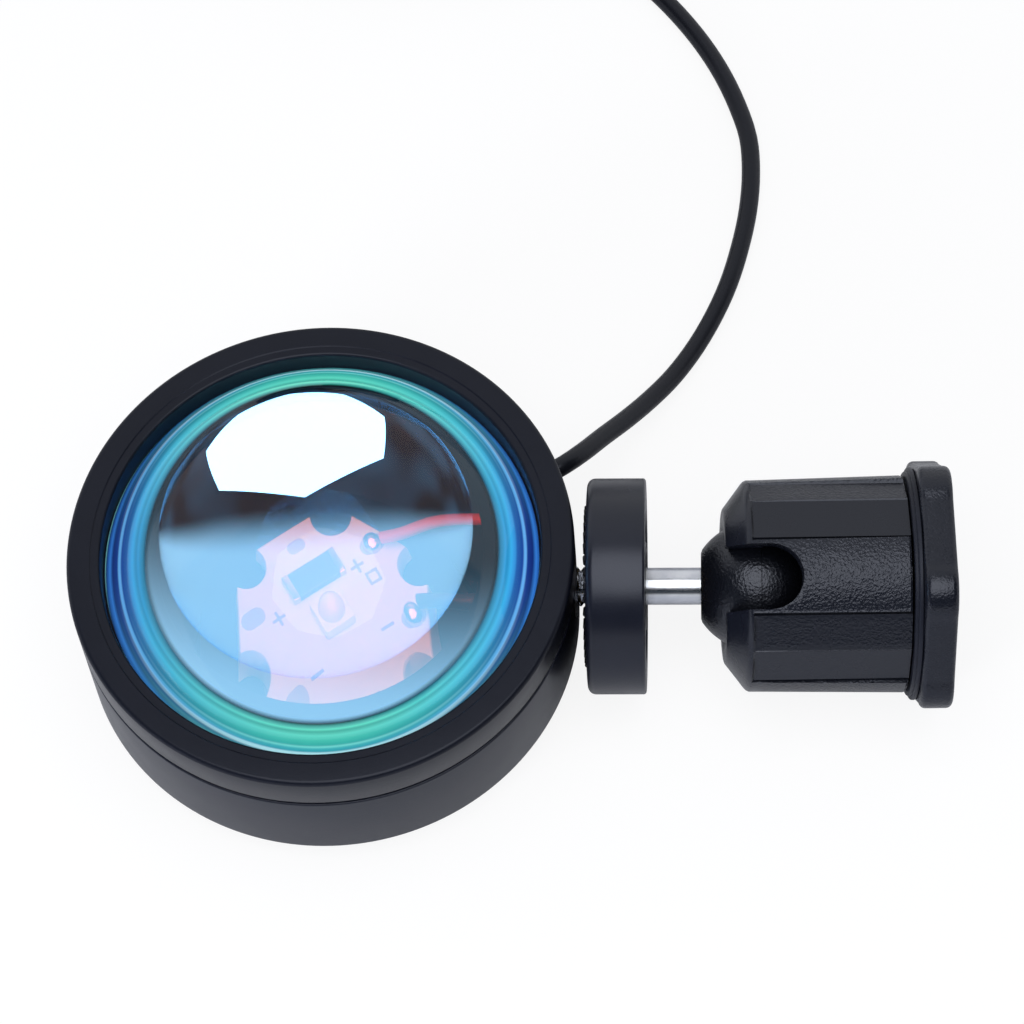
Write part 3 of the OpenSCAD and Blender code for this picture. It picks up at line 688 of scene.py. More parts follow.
@dataclass(frozen=True)
class Moulded(Finish):
    """Moulded plastic: a colour that drifts a little, a fine spark-eroded grain and, where a
    face's grain attribute asks for it, a coarser leather grain. Both grains are drawn coarser than
    the real ones, so that they show.

    Args:
        base: the main colour.
        drift: the colour that it drifts to over a few millimetres.
        rough: the roughness.
        grain_mm: the fine grain's spacing.
        grain_um: its depth in thousandths of a millimetre.
        leather_mm: the leather grain's spacing, or 0 for none.
        leather_um: its depth.
        ior: the index of refraction.
        specular: the specular level.
        cast: the faint cold tint of what the skin mirrors.
        cloud_mm: the distance over which the colour drifts.
        spread: how far the roughness strays to each side.
    """

    base: str = "1c1d20"
    drift: str = "202125"
    rough: float = 0.45
    grain_mm: float = 0.35
    grain_um: float = 12
    leather_mm: float = 0.0
    leather_um: float = 60
    ior: float = 1.5
    specular: float = 0.25
    cast: str = "e9efff"
    cloud_mm: float = 7.0
    spread: float = 0.05

    def surface(self, tree: NodeTree) -> NodeSocket:
        """The plastic's shader.

        Args:
            tree: the material's tree.

        Returns:
            The shader's output.
        """
        where, cloud, colour = clouds(tree, self.cloud_mm, 3.0, 0.6, (self.base, self.drift))
        grain = add_node(tree, "ShaderNodeTexNoise", {
            "Vector": where, "Scale": 1 / (self.grain_mm * MM), "Detail": 2.0, "Roughness": 0.65})
        shine = add_node(tree, "ShaderNodeMapRange", {
            0: cloud, 3: self.rough - self.spread, 4: self.rough + self.spread})
        bump = add_node(tree, "ShaderNodeBump", {
            "Height": grain.outputs[0], "Strength": 1.0, "Distance": self.grain_um * 1e-6})
        if self.leather_mm:
            cells = add_node(tree, "ShaderNodeTexVoronoi", {
                "Vector": where, "Scale": 1 / (self.leather_mm * MM), "Randomness": 1.0,
                "Smoothness": 0.3, "Detail": 1.0, "Roughness": 0.6}, feature="SMOOTH_F1")
            here = add_node(tree, "ShaderNodeAttribute", attribute_name="grain")
            raised = add_node(tree, "ShaderNodeMath", {
                0: cells.outputs[0], 1: here.outputs["Fac"]}, operation="MULTIPLY")
            bump = add_node(tree, "ShaderNodeBump", {
                "Height": raised.outputs[0], "Strength": 1.0, "Distance": self.leather_um * 1e-6,
                "Normal": bump.outputs[0]})
        return add_node(tree, "ShaderNodeBsdfPrincipled", {
            "Base Color": colour, "Roughness": shine.outputs[0], "IOR": self.ior,
            "Specular IOR Level": self.specular, "Specular Tint": linear(self.cast),
            "Normal": bump.outputs[0]}).outputs[0]


@dataclass(frozen=True)
class Metal(Finish):
    """Bare metal with fine turning or brushing marks across an axis. The marks are drawn coarser
    than the real ones, so that they show.

    Args:
        base: the metal's colour.
        dull: the colour where it is dull.
        rough: the roughness.
        mark_mm: the spacing of the marks.
        mark_um: their depth.
        along: the axis that the marks run round or across, as x, y, z shares.
        cloud_mm: the size of the dull clouds.
        spread: how far the roughness strays to each side.
    """

    base: str = "c9ccd0"
    dull: str = "9a9da2"
    rough: float = 0.2
    mark_mm: float = 0.25
    mark_um: float = 3
    along: tuple[float, float, float] = (1, 0, 0)
    cloud_mm: float = 2.5
    spread: float = 0.08

    def surface(self, tree: NodeTree) -> NodeSocket:
        """The metal's shader.

        Args:
            tree: the material's tree.

        Returns:
            The shader's output.
        """
        where, _, colour = clouds(tree, self.cloud_mm, 4.0, 0.5, (self.base, self.dull))
        stretch = tuple((a + 0.04) / (self.mark_mm * MM) for a in self.along)
        fine = add_node(tree, "ShaderNodeMapping", {"Vector": where, "Scale": stretch})
        marks = add_node(tree, "ShaderNodeTexNoise", {
            "Vector": fine.outputs[0], "Scale": 1.0, "Detail": 3.0, "Roughness": 0.7})
        shine = add_node(tree, "ShaderNodeMapRange", {
            0: marks.outputs[0], 3: max(self.rough - self.spread, 0.03),
            4: self.rough + self.spread})
        bump = add_node(tree, "ShaderNodeBump", {
            "Height": marks.outputs[0], "Strength": 1.0, "Distance": self.mark_um * 1e-6})
        return add_node(tree, "ShaderNodeBsdfPrincipled", {
            "Base Color": colour, "Metallic": 1.0, "Roughness": shine.outputs[0],
            "Normal": bump.outputs[0]}).outputs[0]


@dataclass(frozen=True)
class Coated(Finish):
    """A glossy insulating skin or lacquer over a colour, such as wire insulation or solder mask.

    Args:
        base: the main colour.
        drift: the colour that it drifts to.
        rough: the roughness.
        coat: the weight of its clear coat.
        glow: how much light comes through it from below, as subsurface weight.
        cloud_mm: the distance over which the colour drifts.
        depth_um: how deep its unevenness is, in thousandths of a millimetre.
    """

    base: str = "f2efe9"
    drift: str = "e4e0d8"
    rough: float = 0.35
    coat: float = 0.2
    glow: float = 0.0
    cloud_mm: float = 3.0
    depth_um: float = 15

    def surface(self, tree: NodeTree) -> NodeSocket:
        """The coated shader.

        Args:
            tree: the material's tree.

        Returns:
            The shader's output.
        """
        _, cloud, colour = clouds(tree, self.cloud_mm, 4.0, 0.5, (self.base, self.drift))
        bump = add_node(tree, "ShaderNodeBump", {
            "Height": cloud, "Strength": 1.0, "Distance": self.depth_um * 1e-6})
        return add_node(tree, "ShaderNodeBsdfPrincipled", {
            "Base Color": colour, "Roughness": self.rough, "Coat Weight": self.coat,
            "Subsurface Weight": self.glow, "Subsurface Scale": 0.001,
            "Normal": bump.outputs[0]}).outputs[0]


@dataclass(frozen=True)
class Glass(Finish):
    """Clear pressed glass, polished. Shadows and bounced light pass straight through, so that the
    board under it stays lit.

    Args:
        ior: the index of refraction.
        film: whether this face carries the dichroic film on the lens's flat back.
        film_r: the film's radius, which its painted reflection rings are counted against.
        film_off: how far the middle of its painted reflection rings lies from the lens axis, in
            millimetres.
        film_squeeze: how its painted reflection rings are squeezed from front to back.
        falloff: the power that the mirrored share is raised to.
        painted_reflection_span: where the reflection painted inside the dome starts and ends to
            fade, in millimetres.
        painted_reflection_levels: how bright that painted reflection is there.
    """

    ior: float = 1.6
    film: bool = False
    film_r: float = 35.0
    film_off: float = 0.6
    film_squeeze: float = 0.965
    falloff: float = 1.4
    painted_reflection_span: Flat = (-12.0, 9.0)
    painted_reflection_levels: Flat = (0.96, 0.06)

    def surface(self, tree: NodeTree) -> NodeSocket:
        """The glass or the filmed glass.

        Args:
            tree: the material's tree.

        Returns:
            The shader's output.
        """
        path = add_node(tree, "ShaderNodeLightPath")
        if self.film:
            seen = self.film_surface(tree)
        else:
            edge = add_node(tree, "ShaderNodeFresnel", {"IOR": self.ior})
            share = add_node(tree, "ShaderNodeMath", {0: edge.outputs[0], 1: self.falloff},
                             operation="POWER")
            bent = add_node(tree, "ShaderNodeBsdfRefraction", {
                "Color": WHITE, "Roughness": 0.0, "IOR": self.ior})
            shine = add_node(tree, "ShaderNodeBsdfGlossy", {"Color": WHITE, "Roughness": 0.0})
            front = add_node(tree, "ShaderNodeMixShader", {
                0: share.outputs[0], 1: bent.outputs[0], 2: shine.outputs[0]}).outputs[0]
            # Where light is caught inside the dome, a painted reflection takes the place of what it
            # mirrors.
            caught = add_node(tree, "ShaderNodeMath", {0: edge.outputs[0], 1: 0.999},
                              operation="GREATER_THAN")
            side = add_node(tree, "ShaderNodeNewGeometry")
            inside = add_node(tree, "ShaderNodeMath", {
                0: caught.outputs[0], 1: side.outputs["Backfacing"]}, operation="MULTIPLY")
            seen = add_node(tree, "ShaderNodeMixShader", {
                0: inside.outputs[0], 1: front, 2: self.painted_inner_reflection(tree)}).outputs[0]
        straight = add_node(tree, "ShaderNodeBsdfTransparent", {
            "Color": linear("ffd8c8") if self.film else WHITE})
        either = add_node(tree, "ShaderNodeMath", {
            0: path.outputs["Is Shadow Ray"], 1: path.outputs["Is Diffuse Ray"]},
            operation="MAXIMUM")
        return add_node(tree, "ShaderNodeMixShader", {
            0: either.outputs[0], 1: seen, 2: straight.outputs[0]}).outputs[0]

    def painted_inner_reflection(self, tree: NodeTree) -> NodeSocket:
        """Painted reflection where light is caught inside the dome: an emission, bright in front
        and on the left and dim behind, stands in for the pale room and the dark ceiling that it
        would mirror.

        Args:
            tree: the material's tree.

        Returns:
            The shader's output.
        """
        back = add_node(tree, "ShaderNodeVectorMath", {
            0: self.from_axis(tree), 1: (0.2, 1.0, 0.0)}, operation="DOT_PRODUCT")
        (start, end), (bright, dim) = self.painted_reflection_span, self.painted_reflection_levels
        level = add_node(tree, "ShaderNodeMapRange", {
            0: back.outputs["Value"], 1: start * MM, 2: end * MM, 3: bright, 4: dim},
            interpolation_type="SMOOTHSTEP")
        return add_node(tree, "ShaderNodeEmission", {"Color": level.outputs[0]}).outputs[0]

    def from_axis(self, tree: NodeTree) -> NodeSocket:
        """Object coordinates counted from the lens's own axis."""
        where = add_node(tree, "ShaderNodeTexCoord").outputs["Object"]
        return add_node(tree, "ShaderNodeVectorMath", {
            0: where, 1: tuple(-HEAD.translation * MM)}, operation="ADD").outputs[0]

    def film_surface(self, tree: NodeTree) -> NodeSocket:
        """The film: it passes warm light and mirrors the cold part. Past the light's opening its
        rim passes almost no light and carries a painted reflection: rings of colour, green before
        and behind and blue at the sides, with pale glints, drawn as a plain diffuse colour.

        Args:
            tree: the material's tree.

        Returns:
            The shader's output.
        """
        shift = add_node(tree, "ShaderNodeVectorMath", {
            0: self.from_axis(tree), 1: (0.0, self.film_off * MM, 0.0)}, operation="ADD")
        scale = 1 / (self.film_r * MM)
        flat = add_node(tree, "ShaderNodeVectorMath", {
            0: shift.outputs[0], 1: (scale, self.film_squeeze * scale, 0.0)}, operation="MULTIPLY")
        radius = add_node(tree, "ShaderNodeVectorMath", {0: flat.outputs[0]}, operation="LENGTH")
        share = radius.outputs["Value"]
        # Past the opening the film mirrors and passes little, so that the painted rings show.
        mirror = ramp(add_node(tree, "ShaderNodeValToRGB", {0: share}), [
            (0.0, linear("90cdfb")), (0.67, linear("94d2fb")), (0.695, linear("1c3c46")),
            (1.0, linear("101c2c"))])
        through = ramp(add_node(tree, "ShaderNodeValToRGB", {0: share}), [
            (0.0, linear("e8a890")), (0.66, linear("d99a86")), (0.69, linear("0a0506")),
            (1.0, linear("040404"))])
        # Painted reflection: rings of colour and pale glints on the rim, one set as seen at the
        # ends and one at the sides.
        ends = ramp(add_node(tree, "ShaderNodeValToRGB", {0: share}), self.painted_reflection_bands(
            (24.3, "04090a"), (24.7, "40a898"), (25.3, "6aeccc"), (25.7, "44bca0"),
            (26.4, "66e6cc"), (27.3, "4cd2b8"), (28.2, "3cbcae"), (28.5, "86ece0"),
            (28.9, "44c4c4"), (29.4, "3aaab8"), (29.7, "c4fcff"), (30.1, "c4fcff"),
            (30.4, "3c8c98"), (30.9, "5cb8b6"), (31.7, "3a8a90"), (32.5, "123c44"),
            (33.6, "0a1c22")))
        sides = ramp(add_node(tree, "ShaderNodeValToRGB", {0: share}), self.painted_reflection_bands(
            (24.0, "0a1c24"), (24.5, "2e86ac"), (25.4, "38a6dc"), (25.8, "2f94c8"),
            (26.5, "3eb4ec"), (27.3, "3c96dc"), (27.7, "2a62ac"), (28.9, "20489c"),
            (29.2, "6cb6f4"), (29.6, "6cb6f4"), (29.9, "1c3c90"), (31.2, "162e76"),
            (31.9, "3a84dc"), (32.5, "2b66b8"), (33.0, "163468"), (33.3, "86dcd8"),
            (33.7, "1c4450")))
        part = add_node(tree, "ShaderNodeSeparateXYZ", {0: flat.outputs[0]})
        aside = add_node(tree, "ShaderNodeMath", {
            0: part.outputs["X"], 1: share}, operation="DIVIDE")
        square = add_node(tree, "ShaderNodeMath", {
            0: aside.outputs[0], 1: aside.outputs[0]}, operation="MULTIPLY")
        glow = add_node(tree, "ShaderNodeMix", {
            0: square.outputs[0], 6: ends.outputs[0], 7: sides.outputs[0]}, data_type="RGBA")
        passed = add_node(tree, "ShaderNodeBsdfRefraction", {
            "Color": through.outputs[0], "Roughness": 0.0, "IOR": self.ior})
        cold = add_node(tree, "ShaderNodeBsdfGlossy", {
            "Color": mirror.outputs[0], "Roughness": 0.0})
        # The painted reflection rings, as a plain diffuse colour.
        rings = add_node(tree, "ShaderNodeBsdfDiffuse", {"Color": glow.outputs[2]})
        clear = add_node(tree, "ShaderNodeAddShader", {0: passed.outputs[0], 1: cold.outputs[0]})
        return add_node(tree, "ShaderNodeAddShader", {
            0: clear.outputs[0], 1: rings.outputs[0]}).outputs[0]

    def painted_reflection_bands(self, *rings: tuple[float, str]) -> list[tuple[float, Colour]]:
        """The rim's painted reflection rings and glints as stops of a colour band.

        Args:
            rings: pairs of radius in millimetres and colour, from the inside out.

        Returns:
            The stops, with black inside the first ring.
        """
        black = (0.0, 0.0, 0.0, 1.0)
        start = (rings[0][0] - 0.3) / self.film_r
        return [(0.0, black), (start, black)] + [(mm / self.film_r, linear(shade))
                                                 for mm, shade in rings]


@dataclass(frozen=True)
class Woven(Finish):
    """A woven hook-and-loop tape: crossed ribs with a soft nap.

    Args:
        base: the yarn's colour.
        nap: the colour of the nap.
        rib_mm: the spacing of the ribs.
        nap_mm: the size of the nap's tufts.
        depth_um: how deep the weave is, in thousandths of a millimetre.
    """

    base: str = "232428"
    nap: str = "34353a"
    rib_mm: float = 0.8
    nap_mm: float = 0.4
    depth_um: float = 90

    def surface(self, tree: NodeTree) -> NodeSocket:
        """The tape's shader.

        Args:
            tree: the material's tree.

        Returns:
            The shader's output.
        """
        where, nap, colour = clouds(tree, self.nap_mm, 3.0, 0.5, (self.base, self.nap))
        ribs = add_node(tree, "ShaderNodeTexWave", {
            "Vector": where, "Scale": TAU / (self.rib_mm * MM) / 20, "Distortion": 0.6},
            bands_direction="Y")
        height = add_node(tree, "ShaderNodeMath", {
            0: ribs.outputs["Fac"], 1: nap}, operation="ADD")
        bump = add_node(tree, "ShaderNodeBump", {
            "Height": height.outputs[0], "Strength": 1.0, "Distance": self.depth_um * 1e-6})
        return add_node(tree, "ShaderNodeBsdfPrincipled", {
            "Base Color": colour, "Roughness": 0.9, "Sheen Weight": 0.3,
            "Normal": bump.outputs[0]}).outputs[0]


# ABS with a fine spark-eroded grain: near black with a soft cool highlight
SHELL = Moulded("satin black ABS, spark-eroded", "0f111a", "13151f", 0.3, 0.3, 14,
                specular=0.4)
# The same ABS with a finer, duller texture on the front ring
BEZEL = Moulded("satin black ABS, fine-textured", "0d0f17", "11131c", 0.3, 0.3, 14,
                specular=0.22)
# The same ABS, smoother, on the back cover
COVER = Moulded("black ABS, moulded", "13151d", "171922", 0.45, 0.5, 10)
# PA6 with a leather grain on the grip panels: it breaks the highlight into small flecks
GRIP = Moulded("black nylon, leather-grained", "0e1017", "12141c", 0.27, 0.25, 8, 0.5, 75,
               specular=0.4)
# PA6 with the same grain: the ball, black, with a broken highlight
BALL_NYLON = Moulded("black nylon, grained ball", "0a0b10", "0e1016", 0.27, 0.3, 8, 0.5, 50,
                     specular=0.5)
# Dull black inside parts, which show only through the lens. The ball seat wears it too, as painted
# shade in the notch beside the ball.
INSIDE = Moulded("black ABS, matt inside", "090a0c", "0c0d10", 0.7, 0.5, 20, specular=0.15)
# Moulded rubber: matt, a little grey
RUBBER = Moulded("black rubber, moulded", "101113", "151618", 0.6, 0.4, 18, ior=1.52)
# Soft PVC sheath: satin black with a clean streak of light along it
SHEATH = Moulded("black PVC, extruded", "0d0e13", "111218", 0.3, 0.9, 8, ior=1.53)
# Natural nylon: translucent off-white
NATURAL = Moulded("natural nylon, moulded", "dcdad0", "d2cfc4", 0.5, 0.8, 10)
# Dark grey ABS button
BUTTON = Moulded("dark grey ABS, moulded", "35373b", "3b3d42", 0.45, 0.4, 12)
# White PBT in the plug's mouth
PLUG_WHITE = Moulded("white PBT, moulded", "e8e8e4", "dfdfda", 0.45, 0.6, 8)
# Zinc-plated steel, turned: bright, with fine rings round its axis
STUD_STEEL = Metal("zinc-plated steel, turned", "d6d9e0", "a4a8b2", 0.24, 0.18, 5)
# Plain steel screws, turned
SCREW_STEEL = Metal("plain steel, cold-headed", "8f9297", "6d7075", 0.3, 0.3, 3)
# Nickel-plated steel sheet, drawn: nearly a mirror
NICKEL = Metal("nickel-plated steel, drawn", "cfd2d6", "b9bcc1", 0.16, 0.5, 2)
# Turned brass
BRASS = Metal("brass, turned", "c9a257", "a8843f", 0.25, 0.2, 4)
# Gold-plated phosphor bronze
GOLD = Metal("gold-plated bronze, stamped", "dfb05a", "c79a45", 0.2, 0.4, 2)
# Aluminium, turned and anodised black: dull, with faint turning rings
ANODISED = Moulded("aluminium, turned and anodised black", "0c0d10", "101216", 0.5, 0.25, 4,
                   specular=0.12)
# Bright solder, reflowed: smooth domes
SOLDER = Metal("tin solder, reflowed", "d6d8da", "aeb1b4", 0.18, 1.2, 20)
# White solder mask, printed and cured
MASK = Coated("white solder mask, printed", "ece6e2", "e2dad6", 0.4, 0.2)
# The mask over copper looks a touch darker
PAD_GREY = Coated("tinned copper pad, printed", "a9a3b4", "9a94a6", 0.35, 0.3)
# Grey ink of the polarity marks
INK = Coated("grey marking ink, printed", "8d8697", "847d90", 0.6, 0.0)
# White alumina under the LED
CERAMIC = Coated("white alumina, fired", "f2efe9", "e8e4dc", 0.3, 0.3)
# Silicone with yellow phosphor
PHOSPHOR = Coated("yellow phosphor in silicone, cast", "f0dc8c", "e8cf74", 0.2, 0.6, 0.3)
# Thick-film resistor: black glaze between tinned ends
RESISTOR = Coated("black glass glaze, fired", "26272b", "2e2f34", 0.3, 0.4)
# PVC wire insulation
RED_WIRE = Coated("red PVC, extruded", "e0180f", "cf150d", 0.35, 0.2)
BLACK_WIRE = Coated("black PVC insulation, extruded", "141416", "1a1a1c", 0.35, 0.2)
# Grey silicone pad, cut from sheet
PAD = Moulded("grey silicone pad, cut", "8c8f94", "85888d", 0.7, 0.6, 12)
# Clear pressed glass, and the same with its colour film, whose rim carries a painted reflection
CLEAR = Glass("clear glass, pressed and polished")
FILMED = Glass("dichroic film on glass, vapour-deposited", film=True)
# Hook-and-loop tape
TAPE = Woven("black hook-and-loop tape, woven")


# ---------- the lamp's head

@dataclass
class Head:
    """The lamp's head: bezel, housing, back cover and its screws, with the lens and baffle."""

    radius: float = 40.0
    front: float = 14.0
    bezel_low: float = 6.8
    housing_top: float = 5.8
    rear: float = -11.6
    back: float = -15.0
    floor: float = -9.6
    inner: float = 36.3
    spigot: float = 37.5
    spigot_top: float = 11.6
    aperture: float = 34.7
    edge: float = 0.8
    groove: float = 39.2
    baffle_low: float = 7.3
    cover: float = 36.0
    sink: float = 13.3
    screw_ring: float = 30.8

    def bezel(self) -> None:
        """The front ring: a flat rim with a rounded outer edge and a fine inner lip."""
        ledge = self.aperture - 3.7
        profile = ([(self.inner - 0.3, 6.1), (self.inner - 0.3, self.spigot_top + 0.3),
                    (self.spigot + 0.3, self.spigot_top + 0.3), (self.spigot + 0.3, self.bezel_low),
                    (self.radius - 0.25, self.bezel_low)]
                   + arc((self.radius - 0.25, self.bezel_low + 0.25), 0.25, -90, 0, 3)
                   + arc((self.radius - self.edge, self.front - self.edge), self.edge, 0, 90, 8)
                   + [(self.aperture + 1.7, self.front), (self.aperture + 1.5, self.front - 0.12),
                      (self.aperture + 0.7, self.front - 0.12)]
                   + arc((self.aperture + 0.5, self.front - 0.62), 0.5, 90, 180, 5)
                   + [(self.aperture, self.baffle_low - 0.02), (ledge, self.baffle_low - 0.02),
                      (ledge, 6.1)])
        Work("bezel_ring", lathe(profile, 192, closed=True)).done(
            HEAD, [BEZEL], "head", ["front_bezel"], "housing_black", 28)

    def lens(self) -> None:
        """The domed lens: clear in front, with the colour film on its flat back."""
        rim, low, r, dome = 10.5, 8.5, 34.3, 40.0
        rise = dome - math.sqrt(dome * dome - r * r)
        start = math.degrees(math.asin((dome - rise) / dome))
        profile = ([(0, low), (r - 0.3, low), (r, low + 0.3), (r, rim - 0.15)]
                   + arc((0, rim + rise - dome), dome, start + 0.4, 90, 40))
        profile[-1] = (0, rim + rise)
        glass = lathe(profile, 160, places=lambda rr, z: 1 if z < low + 0.05 else 0)
        Work("lens_glass", glass).done(HEAD, [CLEAR, FILMED], "head", ["lens"], "lens_glass", 20)
        hole, edge, under, over = 32.0, 33.9, low - 0.29, low - 0.01
        Work("lens_seal", lathe([(hole, under), (edge, under), (edge, over), (hole, over)], 128,
                                closed=True)).done(
            HEAD, [RUBBER], "head", ["lens_gasket"], "rubber_black")

    def baffle(self) -> None:
        """The dull ring behind the lens, with a rounded edge round its opening."""
        low, high, hole, r = 7.3, 8.2, 21.5, 34.3
        profile = ([(hole + 0.3, low), (r, low), (r, high)]
                   + [(30.0, high), (29.8, high - 0.15), (28.4, high - 0.15), (28.2, high)]
                   + arc((hole + 0.35, high - 0.35), 0.35, 90, 180, 4) + [(hole, low + 0.3)])
        Work("light_baffle_ring", lathe(profile, 160, closed=True)).done(
            HEAD, [INSIDE], "head", ["light_baffle"], "inner_black")

    def housing(self) -> None:
        """The rear housing: side wall, shadow groove, rear face, and holes for stud and cord."""
        profile = ([(self.sink, self.rear), (self.cover + 0.1, self.rear)]
                   + arc((self.radius - self.edge, self.rear + self.edge), self.edge, -90, 0, 8)
                   + arc((self.radius - 0.3, self.housing_top - 0.3), 0.3, 0, 90, 4)
                   + [(self.groove + 0.1, self.housing_top), (self.groove, self.housing_top + 0.1),
                      (self.groove, self.bezel_low - 0.02), (self.spigot, self.bezel_low - 0.02),
                      (self.spigot, self.spigot_top), (self.inner, self.spigot_top),
                      (self.inner, self.floor + 1.0)]
                   + arc((self.inner - 1.0, self.floor + 1.0), 1.0, 0, -90, 4)
                   + [(self.sink, self.floor)])
        shell = Work("rear_shell", lathe(profile, 192, closed=True))
        out = spin(32.5) @ slide(0, 0, -4) @ ALONG_X
        shell.cut(rod(5.0, 28.0, 42.0).moved(ALONG_X), rod(2.6, 34.3, 42.0).moved(out))
        boss = lathe([(5.0, 31.0), (7.5, 31.0), (7.5, 36.6), (5.0, 36.6)], 64, closed=True)
        extra = boss.moved(ALONG_X)
        for at in self.screw_places():
            extra.add(lathe([(1.3, self.floor - 0.5), (3.0, self.floor - 0.5), (3.0, -4.6),
                             (2.7, -4.3), (1.3, -4.3)], 32, closed=True), at)
        Work("rear_shell", Shape.taken(shell.obj).add(extra)).done(
            HEAD, [SHELL], "head", ["rear_housing"], "housing_black", 28)

    def screw_places(self) -> list[Matrix]:
        """Where the three cover screws stand."""
        return [spin(60 + 120 * k) @ slide(self.screw_ring, 0, 0) for k in range(3)]

    def back_cover_and_screws(self) -> None:
        """The shallow back cover with three countersunk cross-head screws."""
        low, top, r, wall = self.back, self.rear - 0.02, self.cover, 1.6
        profile = ([(0, low + 0.25), (27.0, low + 0.25), (27.4, low)]
                   + arc((r - 1.0, low + 1.0), 1.0, -90, 0, 8)
                   + [(r, top), (r - wall, top), (r - wall, low + wall), (0, low + wall)])
        seats = [lathe([(0, low - 0.5), (2.8, low - 0.5), (2.8, low), (1.5, low + 1.45),
                        (1.5, low + 4), (0, low + 4)], 32).moved(at)
                 for at in self.screw_places()]
        Work("back_plate", lathe(profile, 160)).cut(*seats).done(
            HEAD, [COVER], "head", ["back_cover"], "cover_black", 28)
        screw = Work("screw", lathe(
            [(0, low + 0.12), (2.2, low + 0.12), (2.6, low + 0.25), (2.6, low + 0.4),
             (1.28, low + 1.5), (1.28, low + 10.3), (0, low + 10.4)], 32))
        bar = slab(3.0, 0.6, 0.1, low - 0.5, low + 0.9, 0.02, 2)
        screw.cut(bar, bar.moved(spin(90)))
        ring = Repeater(Layout.RING, 3, self.screw_ring, 60)
        Work("back_screws", ring.shape(Shape.taken(screw.obj), SCREW_STEEL)).done(
            HEAD, [SCREW_STEEL], "head", ["cover_screws"], "screw_steel")

    def build(self) -> None:
        """Makes all of the head's own pieces."""
        self.bezel()
        self.lens()
        self.baffle()
        self.housing()
        self.back_cover_and_screws()


